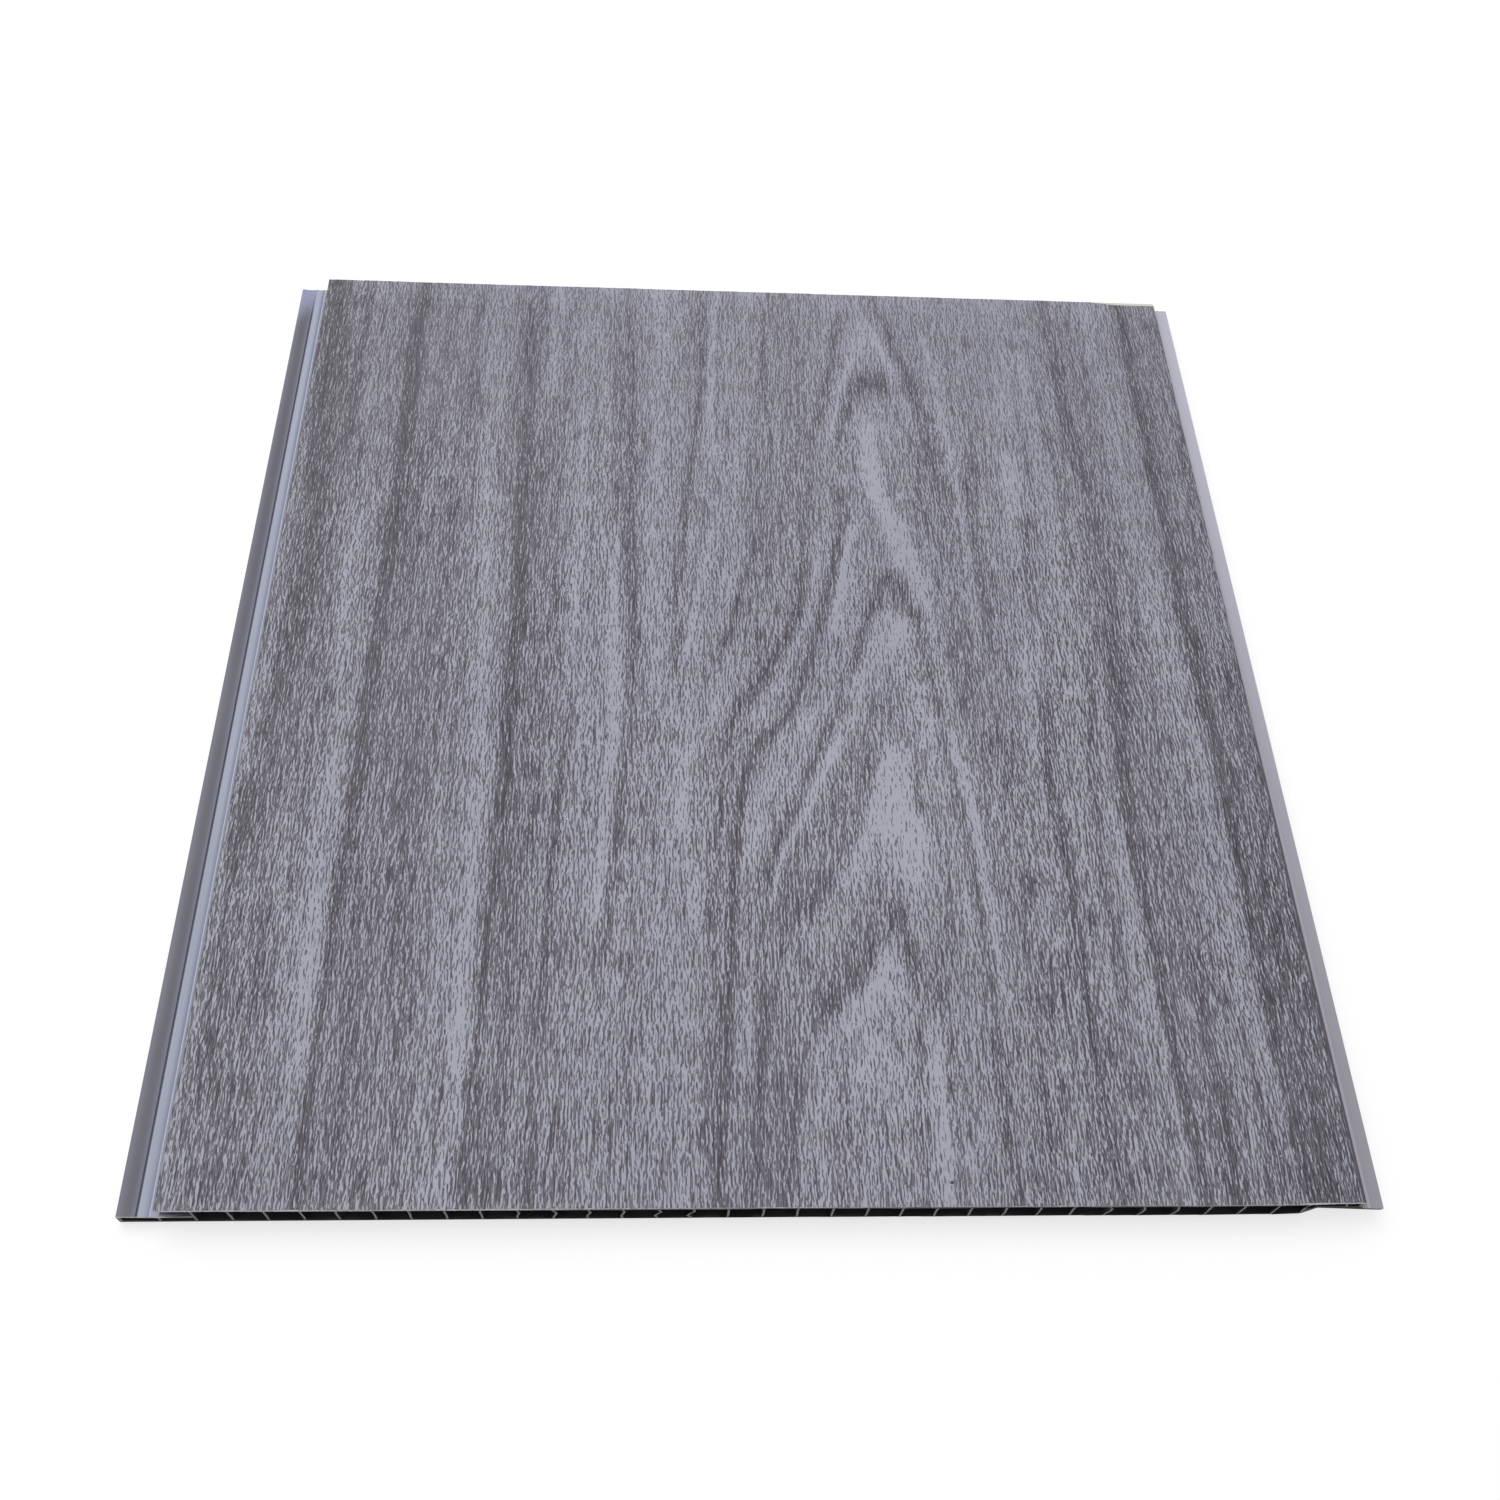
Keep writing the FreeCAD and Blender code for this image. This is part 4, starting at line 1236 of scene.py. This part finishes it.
def film_near_edge(x):
    """How far the film stays back from the line of the near cut, with nicks in it."""
    rng = np.random.default_rng(14)
    nicks = np.interp(x, np.linspace(face_left, face_right, 300), rng.uniform(0, 1, 300) ** 3)
    return saw_wander(x) + 0.01 + 0.14 * nicks


def film_faces(rows, count):
    """Faces of a closed sheet: a grid of points, then the under side's near and far row."""
    faces = []
    for row in range(rows - 1):
        for column in range(count - 1):
            corner = row * count + column
            faces.append((corner, corner + 1, corner + count + 1, corner + count))
    near_row = rows * count
    far_row = near_row + count
    last = near_row - count
    for column in range(count - 1):
        a, b = near_row + column, far_row + column
        faces.append((a, b, b + 1, a + 1))
        faces.append((column, a, a + 1, column + 1))
        faces.append((last + column, last + column + 1, b + 1, b))
    left_side = [row * count for row in range(rows)]
    right_side = [row * count + count - 1 for row in range(rows)]
    faces.append([near_row, *left_side, far_row])
    faces.append([far_row + count - 1, *reversed(right_side), near_row + count - 1])
    return faces


def unfold_film(mesh, points, profile, printed_faces):
    """Lays the film out flat: the printed side wide, the hidden side as a narrow strip."""
    steps = np.hypot(*np.diff(profile, axis=0).T)
    across = np.concatenate([[0], np.cumsum(steps)]) / steps.sum()
    layer = mesh.uv_layers.new(name=film_map)
    for face in mesh.polygons:
        start, width = (0.002, 0.966) if face.index < printed_faces else (0.972, 0.026)
        for corner, loop in zip(face.vertices, face.loop_indices):
            along = (points[corner, 1] - near_cut) / (far_cut - near_cut)
            layer.data[loop].uv = (start + width * across[corner % len(profile)], along)


def make_film_shape():
    """The film as a thin closed sheet that holds the tone of the year rings at its points."""
    profile, outward = film_profile()
    rows = int((far_cut - near_cut) / film_row) + 1
    start = near_cut + film_near_edge(profile[:, 0])
    end = far_cut - film_far_edge(profile[:, 0])
    y = start + np.linspace(0, 1, rows)[:, None] * (end - start)
    x, z = np.broadcast_to(profile[:, 0], y.shape), np.broadcast_to(profile[:, 1], y.shape)
    top = np.stack([x, y, z], -1).reshape(-1, 3)
    inner = profile - outward * (film_thickness + 0.02)
    under_near = np.stack([inner[:, 0], start, inner[:, 1]], -1)
    under_far = np.stack([inner[:, 0], end, inner[:, 1]], -1)
    points = np.vstack([top, under_near, under_far])
    mesh = bpy.data.meshes.new("decor_film")
    mesh.from_pydata([tuple(point) for point in points * MM], [], film_faces(rows, len(profile)))
    unfold_film(mesh, points, profile, (rows - 1) * (len(profile) - 1))
    tones = np.zeros(len(points))
    tones[:len(top)] = tone(top[:, 0] - (face_left + face_right) / 2, top[:, 1] - near_cut)
    mesh.attributes.new("ring_tone", "FLOAT", "POINT").data.foreach_set("value", tones)
    mesh.shade_smooth()
    mesh.set_sharp_from_angle(angle=math.radians(40))
    return mesh


def make_print_effect():
    """Printed wood grain: fine lines along the grain, merging where the ring is dark."""
    tree, given = new_effect(
        "printed_grain", {"Place": ("Vector", None), "Tone": ("Float", 0.5)},
        {"Color": "Color", "Ink": "Float"})
    given_tone = given["Tone"]
    sway = noise(tree, given["Place"], (22, 60, 22), 1)
    lean = new_node(tree, "ShaderNodeCombineXYZ",
                    {"X": times(tree, calc(tree, "SUBTRACT", sway, 0.5), 3.0)})

    def moved(place, offset):
        return new_node(tree, "ShaderNodeVectorMath", {0: place, 1: offset},
                        operation="ADD").outputs[0]

    def shifted(*offset):
        return moved(moved(given["Place"], lean.outputs[0]), offset)

    def staggered(slope, *offset):
        """Moved along the grain the farther across it lies, so that streaks end at random."""
        across = new_node(tree, "ShaderNodeSeparateXYZ", {0: given["Place"]}).outputs[0]
        slide = new_node(tree, "ShaderNodeCombineXYZ", {"Y": times(tree, across, slope)})
        return moved(shifted(*offset), slide.outputs[0])

    def streaks(place, stretch, detail):
        return calc(tree, "SUBTRACT", noise(tree, place, stretch, detail), 0.5)

    def fine_lines(width, length, start):
        """Lines along the grain only: what is left of a noise less its own neighbour."""
        here = noise(tree, shifted(start, 17, 0), (width, length, 1), 1)
        beside = noise(tree, shifted(start + 1.3 * width, 17, 0), (width, length, 1), 1)
        return times(tree, calc(tree, "SUBTRACT", here, beside), 0.7)

    # the level: the ring's tone with streaks along it, fewer where the ring is pale
    long_streaks = streaks(staggered(7.3, 0, 0, 0), (0.8, 30, 1), 1.5)
    short_streaks = streaks(staggered(3.1, 9, 5, 0), (0.7, 9, 1), 1)
    level = calc(tree, "ADD", times(tree, long_streaks, 0.9), times(tree, short_streaks, 0.5))
    level = times(tree, level, ramp(tree, given_tone, 0.0, 0.35, 0.35, 1.0))
    level = calc(tree, "ADD", level, given_tone)
    level = calc(tree, "SUBTRACT", level, ramp(tree, given_tone, 0.3, 0.0, 0.0, 0.34))

    def printed_where(pattern, limit, level_share, low, high):
        """1 where a pattern passes a limit that drops as the level rises."""
        threshold = calc(tree, "SUBTRACT", limit, times(tree, level, level_share))
        return ramp(tree, calc(tree, "SUBTRACT", pattern, threshold), low, high)

    # three prints over each other: grey patches, dark short threads and dark hair lines
    grains = calc(tree, "ADD", fine_lines(0.36, 4.5, 0.0), fine_lines(0.33, 1.7, 50.0))
    islands = streaks(shifted(3, 70, 0), (1.0, 5, 1), 1.5)
    grains = calc(tree, "ADD", grains, times(tree, islands, 0.5))
    patch = printed_where(grains, 0.115, 0.26, -0.02, 0.025)
    threads = printed_where(fine_lines(0.30, 2.6, 90.0), 0.15, 0.12, -0.015, 0.02)
    hairs = noise(tree, shifted(41, 17, 0), (0.3, 10, 1), 1)
    hairs = printed_where(hairs, 0.68, 0.15, -0.015, 0.02)
    ink = calc(tree, "MAXIMUM", threads, hairs)
    clouds = noise(tree, given["Place"], (60, 90, 60), 2)
    base = blend_colour(tree, ramp(tree, clouds, 0.35, 0.65), srgb(164, 166, 180), srgb(171, 173, 186))
    middle = blend_colour(tree, ramp(tree, level, 0.4, 1.1), srgb(103, 100, 109), srgb(95, 92, 100))
    dark = blend_colour(tree, ramp(tree, level, 0.3, 1.0), srgb(65, 61, 69), srgb(54, 50, 57))
    colour = blend_colour(tree, times(tree, patch, 0.95), base, middle)
    colour = blend_colour(tree, times(tree, ink, 0.92), colour, dark)
    # towards the far cut the print is softer, closer to its mean colour
    far = new_node(tree, "ShaderNodeSeparateXYZ", {0: shifted(0, 0, 0)}).outputs[1]
    share = calc(tree, "ADD", times(tree, level, 1.05), 0.15, clamp=True)
    mean = blend_colour(tree, share, base, middle)
    colour = blend_colour(tree, ramp(tree, far, -20, 137, 0.0, 0.28), colour, mean)
    new_node(tree, "NodeGroupOutput", {"Color": colour, "Ink": calc(tree, "MAXIMUM", patch, ink)})
    return tree


def make_scratch_effect():
    """A hair-thin arc, as a hand tool leaves it: faint, and gone towards both ends."""
    tree, given = new_effect(
        "arc_scratch",
        {"Place": ("Vector", None), "Centre": ("Vector", None), "Radius": ("Float", 40.0),
         "Middle": ("Vector", None), "Reach": ("Float", 10.0), "Width": ("Float", 0.1)},
        {"Mask": "Float"})

    def distance_to(target):
        return new_node(tree, "ShaderNodeVectorMath", {0: given["Place"], 1: target},
                        operation="DISTANCE").outputs["Value"]

    away = calc(tree, "SUBTRACT", distance_to(given["Centre"]), given["Radius"])
    away = calc(tree, "ABSOLUTE", away)
    line = ramp(tree, calc(tree, "DIVIDE", away, given["Width"]), 1.0, 0.3)
    along = distance_to(given["Middle"])
    reach = ramp(tree, calc(tree, "DIVIDE", along, given["Reach"]), 1.0, 0.6)
    breaks = ramp(tree, noise(tree, given["Place"], (1.5, 1.5, 1.5), 2), 0.35, 0.6)
    new_node(tree, "NodeGroupOutput", {"Mask": times(tree, line, reach, breaks)})
    return tree


# Scratches on the face: start, a place halfway and the end of each, from the face's middle
# and the near cut
scratches = [
    ((-15.3, 92.6), (-10.0, 104.1), (-2.2, 117.5)),
    ((-0.4, 149.6), (8.8, 154.0), (16.6, 154.8)),
    ((-64.4, 216.5), (-57.1, 225.2), (-48.3, 230.6)),
]


def circle_through(first, second, third):
    """Centre and radius of the circle through three places."""
    (ax, ay), (bx, by), (cx, cy) = first, second, third
    turn = 2 * (ax * (by - cy) + bx * (cy - ay) + cx * (ay - by))
    a, b, c = ax * ax + ay * ay, bx * bx + by * by, cx * cx + cy * cy
    x = (a * (by - cy) + b * (cy - ay) + c * (ay - by)) / turn
    y = (a * (cx - bx) + b * (ax - cx) + c * (bx - ax)) / turn
    return x, y, math.hypot(ax - x, ay - y)


def with_scratches(tree, colour, place):
    """Adds the scratches, laid flat on the face."""
    flat = new_node(tree, "ShaderNodeVectorMath", {0: place, 1: (1, 1, 0)},
                    operation="MULTIPLY").outputs[0]
    scratch_effect = make_scratch_effect()
    middle_x = (face_left + face_right) / 2
    for ends in scratches:
        start, half, end = [(x + middle_x, y + near_cut) for x, y in ends]
        x, y, radius = circle_through(start, half, end)
        scratch = new_node(tree, "ShaderNodeGroup",
                           {"Place": flat, "Centre": (x, y, 0), "Radius": radius,
                            "Middle": (*half, 0), "Reach": math.dist(start, end) * 0.6},
                           node_tree=scratch_effect).outputs["Mask"]
        colour = blend_colour(tree, times(tree, scratch, 0.55), colour, srgb(188, 190, 198))
    return colour


def make_film_finish():
    """Satin clear-coated print, with saw dust and a little haze on it."""
    material, tree, shader = new_surface("printed_film", IOR=1.5, Specular_IOR_Level=0.3)
    place = place_in_mm(tree)
    rings = new_node(tree, "ShaderNodeAttribute", attribute_name="ring_tone").outputs["Fac"]
    grain = new_node(tree, "ShaderNodeGroup", {"Place": place, "Tone": rings},
                     node_tree=make_print_effect()).outputs
    dust = new_node(tree, "ShaderNodeGroup", {"Place": place, "Speck Spacing": 9.0},
                    node_tree=dust_effect).outputs
    grit = new_node(tree, "ShaderNodeGroup",
                    {"Place": place, "Speck Spacing": 13.0, "Amount": 0.25},
                    node_tree=dust_effect).outputs
    colour = blend_colour(tree, times(tree, dust["Haze"], 0.06), grain["Color"],
                          srgb(172, 174, 184))
    colour = with_scratches(tree, colour, place)
    # where it folds over the long edges the film is painted darker; on the right fold this is painted
    # shade, strongest towards the near cut
    x, y, _ = new_node(tree, "ShaderNodeSeparateXYZ", {0: place}).outputs
    right_fold_shade = times(tree, ramp(tree, x, face_right - 1.1, face_right - 0.5),
                       ramp(tree, y, 40, -60, 0.25, 0.95))
    left_fold = ramp(tree, x, face_left + 0.6, face_left + 0.1, 0.0, 0.5)
    colour = blend_colour(tree, calc(tree, "MAXIMUM", left_fold, right_fold_shade), colour,
                          srgb(82, 77, 82))
    colour = blend_colour(tree, grit["Specks"], colour, srgb(44, 42, 46))
    colour = blend_colour(tree, dust["Specks"], colour, srgb(222, 222, 220))
    tree.links.new(colour, shader.inputs["Base Color"])
    gloss = noise(tree, place, (25, 60, 25), 3)
    rough = calc(tree, "ADD", ramp(tree, gloss, 0.3, 0.7, 0.38, 0.48),
                 times(tree, grain["Ink"], 0.06))
    tree.links.new(rough, shader.inputs["Roughness"])
    add_bump(tree, shader, calc(tree, "SUBTRACT", 1.0, grain["Ink"]), 0.25, 0.03)
    return material


film = bpy.data.objects.new("decor_film", make_film_shape())
bpy.context.scene.collection.objects.link(film)
film.data.materials.append(make_film_finish())
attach(film, "root")

# Saw burrs: torn shreds of PVC and film that hang on the edges of both cuts, whitened where
# they were pulled. They show as a rough pale line along the face skin and the flange.


def shreds_tree():
    """Sets small shreds along the drawn lines, turned and sized at random."""
    tree, given = new_geometry_tree("saw_shreds", {
        "Spacing": "Float", "Shred Length": "Float", "Shred Width": "Float", "Seed": "Int",
        "Material": "Material",
    })
    lines = new_node(tree, "GeometryNodeMeshToCurve", {"Mesh": given["Geometry"]})
    spots = new_node(tree, "GeometryNodeResampleCurve",
                     {"Curve": lines.outputs[0], "Length": given["Spacing"]}, mode="LENGTH")
    shred = new_node(tree, "GeometryNodeMeshCone",
                     {"Vertices": 5, "Side Segments": 2, "Fill Segments": 1,
                      "Radius Top": 0.0, "Radius Bottom": given["Shred Width"],
                      "Depth": given["Shred Length"]})
    turn = new_node(tree, "FunctionNodeRandomValue",
                    {"Min": (-1.3, -1.3, -3.1), "Max": (1.3, 1.3, 3.1), "Seed": given["Seed"]},
                    data_type="FLOAT_VECTOR")
    size = new_node(tree, "FunctionNodeRandomValue",
                    {"Min": (0.3, 0.3, 0.2), "Max": (1.4, 1.0, 1.3), "Seed": given["Seed"]},
                    data_type="FLOAT_VECTOR")
    placed = new_node(tree, "GeometryNodeInstanceOnPoints",
                      {"Points": spots.outputs[0], "Instance": shred.outputs["Mesh"],
                       "Rotation": turn.outputs[0], "Scale": size.outputs[0]})
    real = new_node(tree, "GeometryNodeRealizeInstances", {"Geometry": placed.outputs[0]})
    painted = new_node(tree, "GeometryNodeSetMaterial",
                       {"Geometry": real.outputs[0], "Material": given["Material"]})
    new_node(tree, "NodeGroupOutput", {"Geometry": painted.outputs[0]})
    return tree


def make_burr_finish():
    """Freshly torn PVC, whitish at the near cut and cream at the far one."""
    material, tree, shader = new_surface("torn_pvc", Roughness=0.7, Specular_IOR_Level=0.3)
    place = place_in_mm(tree)
    mottle = ramp(tree, noise(tree, place, (1.2, 1.2, 1.2), 3), 0.35, 0.65)
    y = new_node(tree, "ShaderNodeSeparateXYZ", {0: place}).outputs[1]
    fresh = blend_colour(tree, mottle, srgb(150, 149, 150), srgb(206, 204, 202))
    cream = blend_colour(tree, mottle, srgb(206, 205, 192), srgb(232, 230, 218))
    colour = blend_colour(tree, ramp(tree, y, -10, 10), fresh, cream)
    tree.links.new(colour, shader.inputs["Base Color"])
    add_bump(tree, shader, noise(tree, place, (0.15, 0.15, 0.15), 2), 0.4, 0.05)
    return material


def make_burrs(name, lines, spacing, length, width, seed):
    """Shreds along lines of (x, y, z) points; all sizes in millimetres."""
    points, edges = [], []
    for line in lines:
        start = len(points)
        points += [tuple(place) for place in line * MM]
        edges += [(start + i, start + i + 1) for i in range(len(line) - 1)]
    mesh = bpy.data.meshes.new(name)
    mesh.from_pydata(points, edges, [])
    piece = bpy.data.objects.new(name, mesh)
    bpy.context.scene.collection.objects.link(piece)
    grow(piece, shreds_tree(), spacing=spacing * MM, shred_length=length * MM,
         shred_width=width * MM, seed=seed, material=torn_pvc)
    set_points(piece.data, keep_in_box(get_points(piece.data)))
    piece.data.shade_smooth()
    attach(piece, "root")
    return piece


def edge_line(x, y, z):
    """Places along one edge of a cut, at the given distances across the panel."""
    return np.stack(np.broadcast_arrays(x, y, z), -1)


torn_pvc = make_burr_finish()
face_places = np.arange(face_left + 0.2, face_right, 1.0)
flange_places = np.arange(flange_left + 0.4, face_left, 0.5)
tongue_places = np.arange(face_right, tongue_right, 0.5)
near_lines = [
    edge_line(face_places, near_cut + saw_wander(face_places) - 0.02, panel_thickness - 0.28),
    edge_line(flange_places, near_cut + saw_wander(flange_places), flange_height - 0.08),
    edge_line(tongue_places, near_cut + saw_wander(tongue_places), tongue_top - 0.12),
]
far_lines = [
    edge_line(face_places, far_cut - 0.25, panel_thickness - 0.25),
    edge_line(flange_places, far_cut - 0.3, flange_height - 0.05),
    edge_line(tongue_places, far_cut - 0.3, tongue_top - 0.12),
]
make_burrs("near_cut_burrs", near_lines, spacing=0.22, length=0.4, width=0.07, seed=3)
make_burrs("far_cut_burrs", far_lines, spacing=0.25, length=0.6, width=0.1, seed=4)


# Floor: a plain pale sheet under the panel. The camera sees it white, with the soft shadow
# that the panel lays on it.

floor_half = 3.0
floor_mesh = bpy.data.meshes.new("floor")
floor_mesh.from_pydata([(-floor_half, -floor_half, 0), (floor_half, -floor_half, 0),
                        (floor_half, floor_half, 0), (-floor_half, floor_half, 0)],
                       [], [(0, 1, 2, 3)])
floor = bpy.data.objects.new("floor", floor_mesh)
bpy.context.scene.collection.objects.link(floor)


def white_to_camera(tree):
    """1 for rays from the camera and for reflections, 0 for rays that carry light."""
    rays = new_node(tree, "ShaderNodeLightPath").outputs
    seen = calc(tree, "MAXIMUM", rays["Is Camera Ray"], rays["Is Glossy Ray"])
    return calc(tree, "MAXIMUM", seen, rays["Is Transmission Ray"])


def make_floor_finish():
    """Pale grey for the light; the camera sees it white, and grey where the shadow lies."""
    material = bpy.data.materials.new("pale_floor")
    material.use_nodes = True
    tree = material.node_tree
    tree.nodes.clear()
    seen = white_to_camera(tree)
    grey = blend_colour(tree, seen, (0.8, 0.8, 0.8, 1), (0.42, 0.42, 0.42, 1))
    diffuse = new_node(tree, "ShaderNodeBsdfDiffuse", {"Color": grey})
    lift = new_node(tree, "ShaderNodeEmission",
                    {"Strength": calc(tree, "MULTIPLY", seen, 0.66)})
    both = new_node(tree, "ShaderNodeAddShader", {0: diffuse.outputs[0], 1: lift.outputs[0]})
    new_node(tree, "ShaderNodeOutputMaterial", {"Surface": both.outputs[0]})
    return material


floor.data.materials.append(make_floor_finish())

# Light: a white room and one large soft lamp above and behind the panel, at a level at which
# a colour renders about as it is written.

world = bpy.data.worlds.new("white_room")
bpy.context.scene.world = world
world.use_nodes = True
world.node_tree.nodes.clear()
room_light = 0.55
room = new_node(world.node_tree, "ShaderNodeBackground",
                {"Color": (1, 1, 1, 1),
                 "Strength": ramp(world.node_tree, white_to_camera(world.node_tree), 0, 1,
                                  room_light, 1.0)})
new_node(world.node_tree, "ShaderNodeOutputWorld", {"Surface": room.outputs[0]})

lamp_data = bpy.data.lights.new("soft_lamp", "AREA")
lamp_data.shape = "SQUARE"
lamp_data.size = 1.6
lamp_data.energy = 17
lamp = bpy.data.objects.new("soft_lamp", lamp_data)
bpy.context.scene.collection.objects.link(lamp)
lamp.location = (-0.5, 0.7, 1.8)
lamp.rotation_euler = (math.radians(-21), math.radians(-15), 0)

# Camera: it looks down on the panel from in front of its near cut, as in the photograph.

camera_data = bpy.data.cameras.new("camera")
camera_data.sensor_width = 36
camera_data.lens = 35.99
camera = bpy.data.objects.new("camera", camera_data)
bpy.context.scene.collection.objects.link(camera)
camera.location = (-0.02211, -0.22157, 0.31765)
camera.rotation_euler = (math.radians(32.225), math.radians(-3.200), math.radians(-1.179))
bpy.context.scene.camera = camera
bpy.context.scene.view_settings.view_transform = "Standard"
